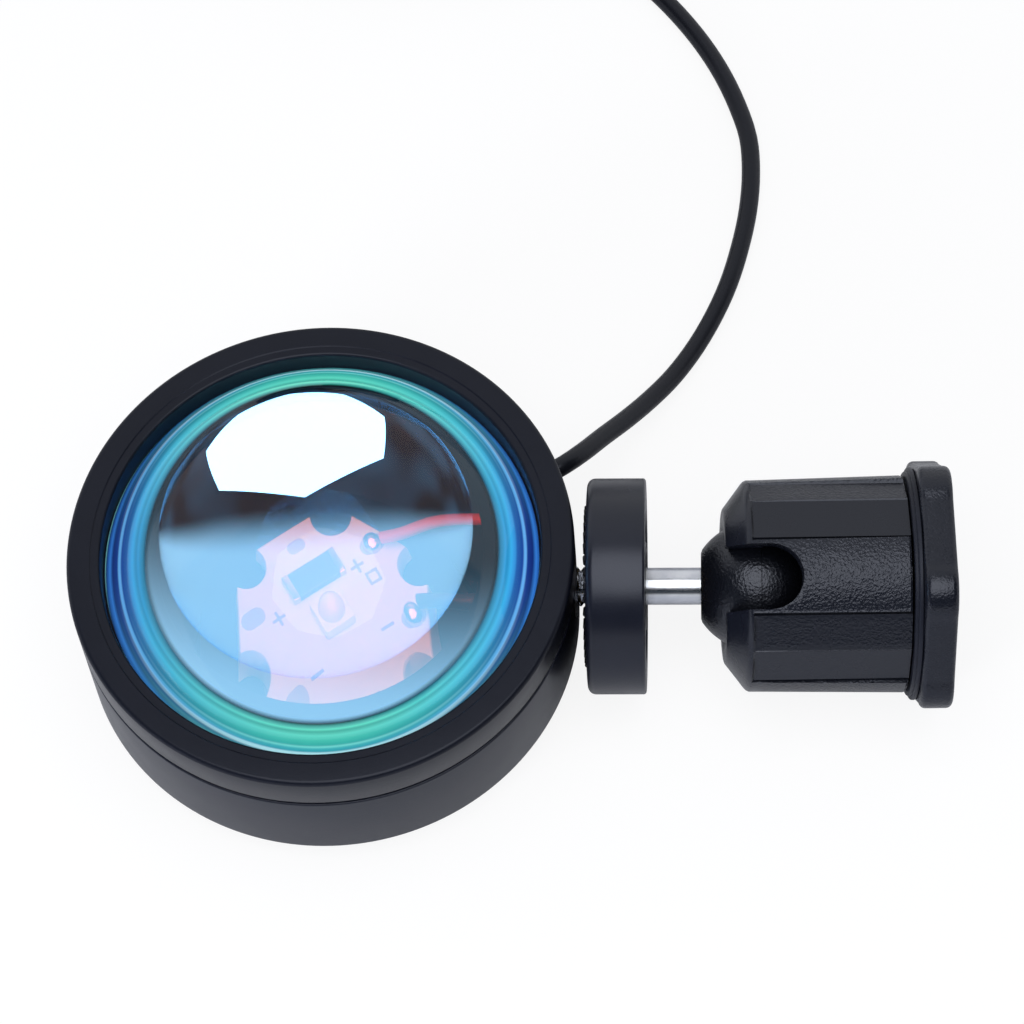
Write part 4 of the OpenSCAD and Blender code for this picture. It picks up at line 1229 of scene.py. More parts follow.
@dataclass
class LightSource:
    """The star-shaped board with its LED and resistor, the wires and the metal under it."""

    face: float = -1.0
    thick: float = 1.6
    radius: float = 10.0
    flat: float = 9.56
    notch: float = 2.1
    turn: float = 32.5
    led: float = 3.45

    def board_frame(self) -> Matrix:
        """The board's own axes, with its face at height 0."""
        return HEAD @ spin(self.turn) @ slide(0, 0, self.face)

    def outline(self) -> list[Flat]:
        """The star's outline: six straight edges with a round notch between each two.

        Returns:
            Its points on X and Y.
        """
        points: list[Flat] = []
        out = self.flat - self.radius * math.cos(math.radians(30))
        reach = 30 + math.degrees(math.acos(out / self.notch))
        for k in range(6):
            mid = 60 * k
            x, y = (self.radius * math.cos(math.radians(mid)),
                    self.radius * math.sin(math.radians(mid)))
            points += arc((x, y), self.notch, mid + 360 - reach, mid + reach, 16)
        return points

    def board(self) -> None:
        """The board, its solder pads and its polarity marks."""
        outline = self.outline()
        rings = []
        for inset, z in ((0.12, -self.thick), (0, -self.thick + 0.12), (0, -0.1), (0.1, 0.0)):
            scale = (self.radius - inset) / self.radius
            rings.append([Vector((x * scale, y * scale, z)) for x, y in outline])
        star = close_rings(rings)
        print_low, print_high, print_edge = -0.05, 0.012, 0.004
        pad = slab(2.6, 1.7, 0.84, print_low, print_high, print_edge, 8)
        for x, y in ((7, 4), (7, -4), (-7, 4), (-7, -4)):
            star.add(pad, slide(x, y, 0), 1)
        small = slab(1.9, 1.2, 0.58, print_low, print_high, print_edge, 6)
        for x, y in ((0.0, -7.6), (0.4, 7.7)):
            star.add(small, slide(x, y, 0), 1)
        bar = slab(1.5, 0.28, 0.1, print_low, print_high, print_edge, 2)
        upright = spin(90)
        for x, y in ((4.6, 2.9), (-4.8, 2.6), (4.2, -3.55), (-4.2, -3.55)):
            star.add(bar, slide(x, y, 0), 2)
            if y > 0:
                star.add(bar, slide(x, y, 0) @ upright, 2)
        for side in (-0.55, 0.55):
            star.add(bar, slide(5.5, 1.2 + side, 0) @ Matrix.Scale(0.9, 4), 2)
            star.add(bar, slide(5.5 + side, 1.2, 0) @ upright @ Matrix.Scale(0.9, 4), 2)
        Work("led_board", star).done(
            self.board_frame(), [MASK, PAD_GREY, INK], "head", ["star_board"], "board_white", 35)

    def led_and_parts(self) -> None:
        """The LED on its white base, the resistor between tinned ends, and the solder."""
        at = self.board_frame()
        base = slab(self.led, self.led, 0.25, 0.02, 0.72, 0.06, 3)
        base.add(slab(1.9, 1.9, 0.1, 0.6, 0.76, 0.03, 2), place=1)
        Work("led_base", base).done(at, [CERAMIC, PHOSPHOR], "head", ["led_package"], "led_white")
        r = self.led * 0.4
        low = 0.74
        dome = lathe([(0, low), (r, low)] + arc((0, low), r, 4, 90, 14)[:-1] + [(0, low + r)], 48)
        Work("led_lens", dome).done(at, [PHOSPHOR], "head", ["led_dome"], "led_phosphor")
        body = slab(4.7, 2.6, 0.12, 0.02, 0.6, 0.08, 2)
        for x in (-2.69, 2.69):
            body.add(slab(0.72, 2.7, 0.12, 0.02, 0.62, 0.07, 2), slide(x, 0, 0), 1)
        Work("chip_resistor", body).done(
            at @ slide(0.3, 4.1, 0), [RESISTOR, SOLDER], "head", ["resistor"],
            "resistor_black")
        blobs = Shape()
        for y in (4, -4):
            blobs.add(lathe([(0, 0.02), (1.0, 0.02), (1.0, 0.12), (0.92, 0.42), (0.72, 0.72),
                             (0.45, 0.9), (0.2, 0.98), (0, 1.0)], 32), slide(7, y, 0))
        Work("solder_blobs", blobs).done(at, [SOLDER], "head", ["solder_joints"], "solder", 60)

    def wires(self) -> None:
        """The red and the black wire from the solder to the cord's cut end."""
        turn = math.radians(self.turn)

        def on_board(x: float, y: float, h: float) -> Vector:
            """A point over the board in the head's axes."""
            return Vector((x * math.cos(turn) - y * math.sin(turn),
                           x * math.sin(turn) + y * math.cos(turn), self.face + h))

        def at_outlet(r: float, aside: float) -> Vector:
            """A point on the cord outlet's line in the head's axes."""
            return Vector((r * math.cos(turn) - aside * math.sin(turn),
                           r * math.sin(turn) + aside * math.cos(turn), -4.0))

        red = on_board(8, 3.5, 0.85)
        black = on_board(8.1, -3.9, 0.85)
        runs = {
            "wire_red": (RED_WIRE, [red, red + Vector((2, 0.3, 0.3)), Vector((11, 8.7, 0.8)),
                                    Vector((16, 9.5, 0.8)), Vector((21, 11, -0.6)),
                                    at_outlet(28.5, 0.75), at_outlet(29.48, 0.75)]),
            "wire_black": (BLACK_WIRE, [black, black + Vector((2, 0, 0.3)), Vector((15, 1.6, 0)),
                                        Vector((19, 5, -1)), Vector((22.5, 9.5, -2.6)),
                                        at_outlet(28.5, -0.75), at_outlet(29.48, -0.75)])}
        for (name, (finish, points)), node in zip(runs.items(), ("red_wire", "black_wire")):
            Work(name, tube(smooth_path(points, 0.7), 0.55, 14)).done(
                HEAD, [finish], "head", [node], name, 50)

    def build(self) -> None:
        """Makes the board, what is on it, and its wires."""
        self.board()
        self.led_and_parts()
        self.wires()


def dress_kept_nodes() -> None:
    """Gives the CAD nodes that stay as they are their finishes."""
    # The ball seat's dull black is painted shade in the sleeve's notch beside the ball.
    for node, finish in (("heat_plate", ANODISED), ("heat_sink", ANODISED), ("thermal_pad", PAD),
                         ("side_insert", BRASS), ("cord_tie", NATURAL), ("disc_insert", BRASS),
                         ("ball_seat", INSIDE)):
        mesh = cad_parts[node].data
        mesh.materials.clear()
        mesh.materials.append(finish.material())
        LOG.info("%s: kept, %s", node, finish.name)


# ---------- the mount

@dataclass
class Mount:
    """The stud with its thread, the ball, and the locking disc with its toothed ring."""

    thread_r: float = 3.175
    pitch: float = 1.27
    start: float = 32.5
    disc_low: float = 41.65
    disc_high: float = 50.95
    disc_r: float = 17.2
    shank_r: float = 2.95
    ball_r: float = 10.25
    flat: float = 8.65

    def stud(self) -> None:
        """The stud: a rolled thread that runs out into a smooth shank."""
        steps, depth = 40, 0.7
        end = self.disc_high - 0.9
        turns = (end - self.start) / self.pitch
        rings = [circle(self.thread_r - depth - 0.3, self.start, steps)]
        count = int(turns * 8) + 1
        flank = 0.42
        for i in range(count + 1):
            z = self.start + 0.2 + (end - self.start - 0.2) * i / count
            fade = min(1.0, (z - self.start) / 1.2, (end - z) / 1.0 + 0.02)
            ring = []
            for k in range(steps):
                share = ((z - self.start) / self.pitch - k / steps) % 1.0
                tooth = min(share, 1 - share, flank) / flank
                r = self.thread_r - depth + depth * tooth * max(fade, 0)
                a = TAU * k / steps
                ring.append(Vector((r * math.cos(a), r * math.sin(a), z)))
            rings.append(ring)
        rings += [circle(r, z, steps) for z, r in (
            (end + 0.1, 2.55), (end + 0.45, self.shank_r), (60.0, self.shank_r),
            (71.0, self.shank_r), (71.3, self.shank_r - 0.3))]
        Work("stud_bar", close_rings(rings)).done(
            HEAD @ ALONG_X, [STUD_STEEL], "ball_stud", ["threaded_stud"], "stud_steel", 45)

    def ball(self) -> None:
        """The ball, with a dished flat where the stud goes in and the mould's parting line."""
        edge = math.degrees(math.acos(self.flat / self.ball_r))
        hole = self.shank_r + 0.02
        profile = ([(hole, -self.flat + 4.0), (hole, -self.flat + 0.5),
                    (self.shank_r + 0.3, -self.flat + 0.25), (5.0, -self.flat)]
                   + arc((5.25, -self.flat + 0.22), 0.22, -90, -30, 3)
                   + arc((0, 0), self.ball_r, -90 + edge + 1.6, 4.6, 24)
                   + arc((0, 0), self.ball_r - 0.07, 4.9, 5.2, 1)
                   + arc((0, 0), self.ball_r, 5.5, 90, 24))
        ordered = profile[::-1]
        ordered[0] = (0, self.ball_r)
        ordered.append((0, -self.flat + 4.0))
        Work("mount_ball", lathe(ordered, 96)).grained(lambda place: 1.0).done(
            HEAD @ slide(REACH, 0, 0) @ ALONG_X, [BALL_NYLON], "ball_stud", ["ball"],
            "ball_black", 30)

    def disc(self) -> None:
        """The locking disc, and the toothed ring that bites on the head."""
        low, high, r = self.disc_low, self.disc_high, self.disc_r
        hole, groove_in, groove_out = 5.55, 10.4, 13.0
        profile = ([(hole, low), (groove_in - 0.05, low), (groove_in, low + 0.8),
                    (groove_out, low + 0.8), (groove_out + 0.05, low)]
                   + [(r - 1.6, low)] + arc((r - 1.3, low + 1.3), 1.3, -75, 0, 6)
                   + arc((r - 0.45, high - 0.45), 0.45, 0, 90, 5)
                   + [(12.2, high), (11.9, high - 0.25), (7.2, high - 0.25), (6.9, high),
                      (hole, high)])
        Work("lock_disc", lathe(profile, 160, closed=True)).done(
            HEAD @ ALONG_X, [SHELL], "disc", ["locking_disc"], "housing_black", 28)
        ring = lathe([(groove_in, low), (groove_out, low), (groove_out, low + 0.78),
                      (groove_in, low + 0.78)], 128, closed=True)
        tooth = close_rings([[Vector((x, y, z)) for x, y in
                              ((-1.2, -w), (1.15, -w * 1.1), (1.15, w * 1.1), (-1.2, w))]
                             for w, z in ((0.5, low + 0.2), (0.5, low - 0.12), (0.22, low - 0.43),
                                          (0.12, low - 0.45))])
        middle = (groove_in + groove_out) / 2
        ring.add(Repeater(Layout.RING, 36, middle, 5).shape(tooth, RUBBER))
        Work("grip_ring", ring).done(
            HEAD @ ALONG_X, [RUBBER], "disc", ["friction_ring"], "rubber_black", 30)

    def build(self) -> None:
        """Makes the stud, the ball and the disc."""
        self.stud()
        self.ball()
        self.disc()


@dataclass
class Sleeve:
    """The locking sleeve: a round shoulder, four grained grip panels with grooves beside them, two
    flat facets with a raised line between each two, and the notch that lets the stud fold over."""

    mouth: float = -5.2
    end: float = 23.4
    mouth_r: float = 16.8
    end_r: float = 17.25
    rim: float = 11.96
    shoulder: float = -1.7
    panel: float = 20.8
    facet: float = 43.0
    socket: float = 10.45
    bore: float = 12.3
    slot_r: float = 5.15
    slot_x: float = 1.45

    def outline(self) -> list[tuple[float, float]]:
        """Angles in degrees and how far the outline stands from the mouth radius, all round.

        Returns:
            Pairs of angle and offset; an offset over 1 stands for the turned shape's own radius.
        """
        count, after = 22, 90 - self.panel
        quarter = [(-self.panel + 1 + (2 * self.panel - 2) * i / count, 2.0)
                   for i in range(count + 1)]
        quarter += [(self.panel - 0.7, -0.55), (self.panel + 0.5, -0.6), (self.panel + 0.8, -0.2)]
        for i in range(1, 6):
            quarter.append((self.panel + 0.8 + (self.facet - self.panel - 0.8) * i / 6, 0.0))
        quarter += [(self.facet - 0.45, -0.08), (self.facet, 0.1), (self.facet + 0.45, -0.08)]
        for i in range(1, 6):
            quarter.append((self.facet + (after - 0.8 - self.facet) * i / 6, 0.0))
        quarter += [(after - 0.8, -0.2), (after - 0.5, -0.6), (after + 0.7, -0.55)]
        return [(a + 90 * k, d) for k in range(4) for a, d in quarter]

    def ring_radii(self, turned: float, cut: float) -> list[tuple[float, float]]:
        """Angle and radius all round for one ring.

        Args:
            turned: the radius of the turned shape there.
            cut: 0 for a round ring, 1 where the panels and facets are full.

        Returns:
            Pairs of angle in radians and radius.
        """
        base = self.mouth_r
        marks = self.outline()
        fixed = {i: min(turned, base + d) if abs(d) > 0.05 or d > 1 else None
                 for i, (_, d) in enumerate(marks)}
        radii: list[tuple[float, float]] = []
        for i, (a, _) in enumerate(marks):
            r = fixed[i]
            if r is None:
                lo = max(j for j in range(i) if fixed[j] is not None)
                hi = min(j for j in range(i, len(marks)) if fixed[j] is not None)
                p, q = [Vector((fixed[j] * math.cos(math.radians(marks[j][0])),
                                fixed[j] * math.sin(math.radians(marks[j][0])))) for j in (lo, hi)]
                ray = Vector((math.cos(math.radians(a)), math.sin(math.radians(a))))
                side = q - p
                r = (p.x * side.y - p.y * side.x) / (ray.x * side.y - ray.y * side.x)
            radii.append((math.radians(a), r * cut + turned * (1 - cut)))
        return radii

    def build(self) -> None:
        """Makes the sleeve and marks where its grain is coarse."""
        profile = [(self.mouth, self.rim, 0.0), (self.mouth + 0.12, self.rim + 0.4, 0.0),
                   (self.mouth + 0.5, self.rim + 0.9, 0.0)]
        x0, r0 = self.mouth + 0.5, self.rim + 0.9
        x1, r1 = self.shoulder - 0.7, self.mouth_r - 0.9
        profile += [(x0 + (x1 - x0) * t, r0 + (r1 - r0) * t, 0.0) for t in (0.3, 0.6, 0.9)]
        profile += [(self.shoulder - 0.5, self.mouth_r - 0.62, 0.0),
                    (self.shoulder - 0.15, self.mouth_r - 0.24, 0.0),
                    (self.shoulder + 0.3, self.mouth_r - 0.02, 0.0),
                    (self.shoulder + 0.42, self.mouth_r, 0.0),
                    (self.shoulder + 0.75, self.mouth_r, 1.0)]
        body = self.end - 0.4
        profile += [(self.shoulder + 1 + (body - self.shoulder - 1) * i / 10,
                     self.mouth_r + (self.end_r - self.mouth_r) * i / 10, 1.0)
                    for i in range(1, 11)]
        profile += [(self.end - 0.1, self.end_r - 0.12, 1.0), (self.end, self.end_r - 0.4, 1.0)]
        rings = []
        for x, turned, cut in profile:
            rings.append([Vector((x, r * math.cos(a), r * math.sin(a)))
                          for a, r in self.ring_radii(turned, cut)])
        angles = [a for a, _ in self.ring_radii(self.mouth_r, 0.0)]
        inner = [(self.end, self.bore + 0.3), (self.end - 0.3, self.bore), (0.6, self.bore)]
        inner += [(self.socket * math.sin(math.radians(t)), self.socket * math.cos(math.radians(t)))
                  for t in (3.3, -5, -12, -19, -25)]
        mouth_in = math.sqrt(self.socket ** 2 - self.mouth ** 2)
        inner += [(self.mouth + 0.35, mouth_in + 0.25), (self.mouth + 0.08, mouth_in + 0.8),
                  (self.mouth, mouth_in + 1.3)]
        for x, r in inner:
            rings.append([Vector((x, r * math.cos(a), r * math.sin(a))) for a in angles])
        sleeve = Work("grip_sleeve", close_rings(rings, loop=True))
        hole = rod(self.slot_r, 3.0, 30.0, steps=96).moved(slide(self.slot_x, 0, 0))
        gate = [(self.mouth - 3, -self.slot_r), (self.slot_x, -self.slot_r),
                (self.slot_x, self.slot_r), (self.mouth - 3, self.slot_r)]
        sleeve.cut(hole, close_rings([[Vector((x, y, z)) for x, y in gate] for z in (3, 30)]))
        sleeve.soften(0.14, 2, 35)
        sleeve.grained(self.grain).done(
            SLEEVE, [GRIP], "sleeve", ["locking_sleeve"], "sleeve_black", 22)

    def grain(self, place: Vector) -> float:
        """How coarse the grain is: full on the panels, less on one facet beside each.

        Args:
            place: a corner in the sleeve's own axes.

        Returns:
            The grain's share, from 0 to 1.
        """
        if place.x < self.shoulder + 0.8:
            return 0.15
        angle = math.degrees(math.atan2(place.z, place.y)) % 90
        if min(angle, 90 - angle) < self.panel - 0.9:
            return 1.0
        return 0.6 if self.panel + 0.8 < angle < self.facet - 0.6 else 0.12


@dataclass
class Base:
    """The lobed base plate with its ribbed post, collar, brass socket and rubber foot."""

    collar_x: float = 23.7
    plate_low: float = 25.0
    plate_high: float = 30.2
    lobe_x: float = 15.0
    lobe_r: float = 6.1
    edge: float = 1.0
    post_r: float = 12.0
    post_x: float = 12.4
    bore: float = 6.0
    foot_in: float = 8.0
    foot_out: float = 14.0
    foot_low: float = 29.2
    gap: float = 0.02

    def outline(self, inset: float, count: int = 240) -> list[Flat]:
        """The plate's outline: six lobes joined by flats.

        Args:
            inset: how far it is drawn in.
            count: how many points it has.

        Returns:
            Pairs of radius and angle in radians.
        """
        points: list[Flat] = []
        flat_r = self.lobe_x * math.cos(math.radians(30)) + self.lobe_r - 0.2 - inset
        round_r = self.lobe_x + self.lobe_r - 0.8 - inset
        r = self.lobe_r - inset
        for i in range(count):
            a = TAU * i / count
            near = a % (math.pi / 3) - math.pi / 6
            plain = min(flat_r / math.cos(math.pi / 6 - abs(near)), round_r)
            bow = r * r - (self.lobe_x * math.sin(near)) ** 2
            lobe = self.lobe_x * math.cos(near) + math.sqrt(bow) if bow > 0 else 0.0
            points.append((max(plain, lobe), a))
        return points

    def plate(self) -> None:
        """The plate with rounded edges, and its ribbed post inside the sleeve."""
        loops = [[Vector((r * math.cos(a), r * math.sin(a), x)) for r, a in self.outline(inset)]
                 for inset, x in edge_rows(self.plate_low, self.plate_high, self.edge, 5)]
        plate = Work("foot_plate", close_rings(loops))
        past = self.plate_high + 1.3
        plate.cut(rod(self.bore, 15.0, past, steps=96),
                  lathe([(self.foot_in, self.foot_low), (self.foot_out, self.foot_low),
                         (self.foot_out, past), (self.foot_in, past)], 128, closed=True))
        whole = Shape.taken(plate.obj)
        x, root = self.post_x, self.post_r - 0.8
        ribs: list[Flat] = [(root, x)]
        while x < self.plate_low - 2.5:
            ribs += [(root, x + 0.2), (self.post_r, x + 0.9), (self.post_r, x + 1.3), (root, x + 2)]
            x += 2
        inner, top, floor = self.bore + 0.2, self.plate_low + 0.4, self.post_x + 6.2
        ribs += [(root, top), (inner, top), (inner, floor), (0.01, floor), (0.01, self.post_x)]
        whole.add(lathe(ribs, 96, closed=True))
        Work("foot_plate", whole).grained(lambda place: 0.45).done(
            BASE @ ALONG_X, [GRIP], "base", ["base_plate"], "sleeve_black", 30)

    def collar_and_fittings(self) -> None:
        """The stepped collar, the brass tripod socket and the grooved rubber foot."""
        low, high, r = self.collar_x, self.plate_low - self.gap, 18.5
        collar = ([(self.post_r + 0.2, low), (r - 1.5, low)]
                  + arc((r - 0.9, low + 0.25), 0.25, -90, 0, 3)
                  + [(r - 0.6, low + 0.5)] + arc((r - 0.3, low + 0.8), 0.3, -90, 0, 4)
                  + [(r, high - 0.15), (r - 0.15, high), (self.post_r + 0.2, high)])
        Work("collar_ring", lathe(collar, 128, closed=True)).done(
            BASE @ ALONG_X, [COVER], "base", ["collar_washer"], "cover_black", 28)
        deep = self.plate_high - 10.8
        socket: list[Flat] = [(self.bore - self.gap, deep), (self.bore - self.gap, self.plate_high),
                              (3.7, self.plate_high), (3.3, self.plate_high - 0.4)]
        z = self.plate_high - 0.6
        while z > deep + 2.2:
            socket += [(3.26, z), (3.6, z - 0.5), (3.6, z - 0.7), (3.26, z - 1.2)]
            z -= 1.27
        socket += [(3.26, deep + 0.9), (0, deep + 0.8), (0, deep)]
        Work("tripod_thread", lathe(socket, 64)).done(
            BASE @ ALONG_X, [BRASS], "base", ["base_insert"], "brass", 28)
        start, end, low = (self.foot_in + self.gap, self.foot_out - self.gap,
                           self.foot_low + self.gap)
        foot = [(start, low), (end, low), (end, self.plate_high)]
        for k in range(3):
            mid = 12.6 - 1.5 * k
            foot += [(mid + 0.3, self.plate_high), (mid + 0.15, self.plate_high - 0.3),
                     (mid - 0.15, self.plate_high - 0.3), (mid - 0.3, self.plate_high)]
        foot += [(start, self.plate_high)]
        Work("rubber_foot", lathe(foot, 128, closed=True)).done(
            BASE @ ALONG_X, [RUBBER], "base", ["foot_pad"], "rubber_black", 28)

    def build(self) -> None:
        """Makes the base."""
        self.plate()
        self.collar_and_fittings()


# ---------- the cord and what is on it

@dataclass
class Cord:
    """The USB cord: out of the head, over the table, through the switch, round the coil and into
    the plug. Its route repeats the one that the solids follow."""

    radius: float = 1.6
    outlet_turn: float = 32.5
    outlet_drop: float = 4.0
    coil_centre: Flat = (-54.0, 159.0625)
    coil_r: float = 17.6
    coil_half: float = 5.4625
    coil_z: float = 2.5
    pitch: float = 3.8
    layers: int = 4
    layer_turns: float = 2.875
    plug_line: Flat = (182.125, 4.0)
    lead: tuple[tuple[float, float, float], ...] = (
        (12.4, 25.7, 12.3), (15.8, 29.8, 9.8), (19.9, 34.5, 7), (24, 39.4, 4.6), (28.2, 44.8, 2.8),
        (32.2, 50.9, 1.9), (35.5, 57, 1.7), (38.1, 63, 1.7), (40.3, 70, 1.7), (42, 77.5, 1.7),
        (42.8, 85, 1.7), (42.6, 92, 1.7), (41, 98.5, 1.7), (38.6, 105, 1.7), (35.3, 111.5, 1.7),
        (31, 118, 1.7), (26, 124, 1.8), (20, 129.5, 2.6), (14, 133.5, 4), (10.7, 136, 5.5),
        (7.3, 136, 5.5), (2, 136, 5.5))
    link: tuple[tuple[float, float, float], ...] = (
        (-30, 136, 5.5), (-35.3, 136, 5.5), (-38.7, 136, 5.5), (-41, 136, 4.6), (-47, 136, 3))

    def at_outlet(self, r: float) -> Vector:
        """A point of the cord's line out of the head, at a distance from the lens axis."""
        a = math.radians(self.outlet_turn)
        return HEAD @ Vector((r * math.cos(a), r * math.sin(a), -self.outlet_drop))

    def coil_point(self, t: float) -> Vector:
        """A point of the coil, which spirals in and out and climbs where it turns back.

        Args:
            t: how many turns the cord has made.

        Returns:
            The point on the table's axes.
        """
        share = t / self.layer_turns
        fold = abs(share - 2 * math.floor(share / 2 + 0.5))
        r = self.coil_r + self.coil_half * (1 - 2 * fold)
        a = math.radians(-90) - TAU * t
        climb = sum(min(max((t - k * self.layer_turns + 0.25) / 0.5, 0.0), 1.0)
                    for k in range(1, self.layers))
        return Vector((self.coil_centre[0] + r * math.cos(a), self.coil_centre[1] + r * math.sin(a),
                       self.coil_z + self.pitch * climb))

    def route(self) -> list[Vector]:
        """The cord's route, from inside the head to inside the plug.

        Returns:
            The centre line's points on the table's axes.
        """
        turns = self.layers * self.layer_turns
        start = [self.at_outlet(r) for r in (29.5, 36.0, 41.3, 44.4)]
        first = smooth_path(start + [Vector(p) for p in self.lead] + [Vector(p) for p in self.link]
                            + [self.coil_point(0) + Vector((3.2, 0, 0)), self.coil_point(0)], 2.0)
        steps = round(turns * 44)
        coil = [self.coil_point(turns * i / steps) for i in range(1, steps)]
        end = self.coil_point(turns)
        tail = [end, end + Vector((3.2, 0, 0))]
        tail += [Vector((x, end.y, end.z + dz)) for x, dz in ((-46, -0.6), (-38, -2.6), (-30, -5.6),
                                                              (-23, -8.2))]
        tail += [Vector((x, *self.plug_line)) for x in (-16.2, -13, -9.1)]
        return first + coil + smooth_path(tail, 2.0)

    def grommet(self) -> None:
        """The grommet where the cord leaves the head: a flange outside and one inside."""
        profile = [(1.65, 35.2), (3.4, 35.05), (3.4, 36.0), (2.58, 36.1), (2.58, 39.9),
                   (2.58, 40.02), (3.1, 40.02)]
        profile += arc((3.1, 40.32), 0.3, -90, 0, 3) + arc((2.9, 40.6), 0.5, 0, 90, 5)
        profile += [(2.2, 41.2), (1.85, 41.2), (1.65, 41.0)]
        at = HEAD @ spin(self.outlet_turn) @ slide(0, 0, -self.outlet_drop) @ ALONG_X
        Work("cord_bush", lathe(profile, 64, closed=True)).done(
            at, [RUBBER], "head", ["cord_grommet"], "rubber_black", 40)

    def strap(self) -> Object:
        """The tape round the coil.

        Returns:
            The strap.
        """
        wide, high, thick = 15.925, 16.4, 0.5
        at = slide(*self.coil_centre, 0) @ spin(180) @ slide(self.coil_r, 0, high / 2)
        outer = rounded(wide, high, 1.5, 6)
        inner = rounded(wide - 2 * thick, high - 2 * thick, 1.0, 6)
        rings = []
        for outline, way in ((outer, 1), (inner, -1)):
            for y, inset in ((-4.0, 0.12), (-3.88, 0.0), (3.88, 0.0), (4.0, 0.12)):
                scale = 1 - way * inset / 8
                rings.append([Vector((x * scale, way * y, z * scale)) for x, z in outline])
        band = close_rings(rings, loop=True)
        return Work("coil_tape", band).done(at, [TAPE], "head", ["coil_strap"], "strap_black", 40)

    def build(self, pieces: Sequence[Object]) -> Object:
        """Args:
            pieces: the separate pieces on it; not used.

        Returns:
            The cord's object.
        """
        path = self.route()
        cord = Work("usb_cord", tube(path, self.radius, 16)).done(
            TABLE, [SHEATH], "head", ["cord_lead", "cord_link", "cord_coil", "cord_tail"],
            "cord_black", 60)
        return cord


@dataclass
class Switch:
    """The inline switch: a housing in two halves with a round push button."""

    centre: Flat = (-14.0, 136.0)
    length: float = 42.0
    width: float = 17.0
    height: float = 11.0
    split: float = 5.5
    button: float = 9.0
    port_r: float = 1.66
    wall: float = 2.0

    def halves(self) -> list[Object]:
        """The two halves of the housing, open for the cord and the button.

        Returns:
            The lower and the upper half.
        """
        at = slide(*self.centre, 0)
        past = self.length / 2 + 2
        port = rod(self.port_r, -past, past, steps=32).moved(slide(0, 0, self.split) @ ALONG_X)
        room = slab(self.length - 2 * self.wall, self.width - 2 * self.wall, 1.5, 1.6,
                    self.height - 1.6, 0.3, 3)
        low = Work("switch_lower", slab(self.length, self.width, 3.0, 0.0, self.split - 0.02, 0.7))
        low.cut(room, port)
        lower = low.done(at, [SHELL], "head", ["switch_base"], "switch_black", 35)
        up = Work("switch_upper", slab(self.length, self.width, 3.0, self.split + 0.02,
                                       self.height, 0.9))
        dish = lathe([(0, self.height - 0.5), (6.0, self.height - 0.5), (6.6, self.height + 0.1),
                      (6.6, self.height + 2), (0, self.height + 2)], 64)
        up.cut(room, port, rod(self.button / 2 + 0.3, 5, 14), dish)
        upper = up.done(at, [SHELL], "head", ["switch_cover"], "switch_black", 35)
        return [lower, upper]

    def push_button(self) -> Object:
        """The button, dished on top, with its collar inside the housing. Its underside stays clear
        of the cord when it's pressed.

        Returns:
            The button.
        """
        h, r = self.height, self.button / 2
        profile = ([(0, h - 2.45), (r + 1.2, h - 2.45), (r + 1.2, h - 1.8), (r, h - 1.8)]
                   + arc((r - 0.4, h + 0.9), 0.4, 0, 90, 5)
                   + [(r - 1.4, h + 1.2), (r - 2.6, h + 0.95), (0, h + 0.85)])
        return Work("push_button", lathe(profile, 64)).done(
            slide(*self.centre, 0), [BUTTON], "switch_key", ["switch_button"], "button_grey", 35)

    def build(self) -> list[Object]:
        """Makes the switch."""
        return self.halves() + [self.push_button()]


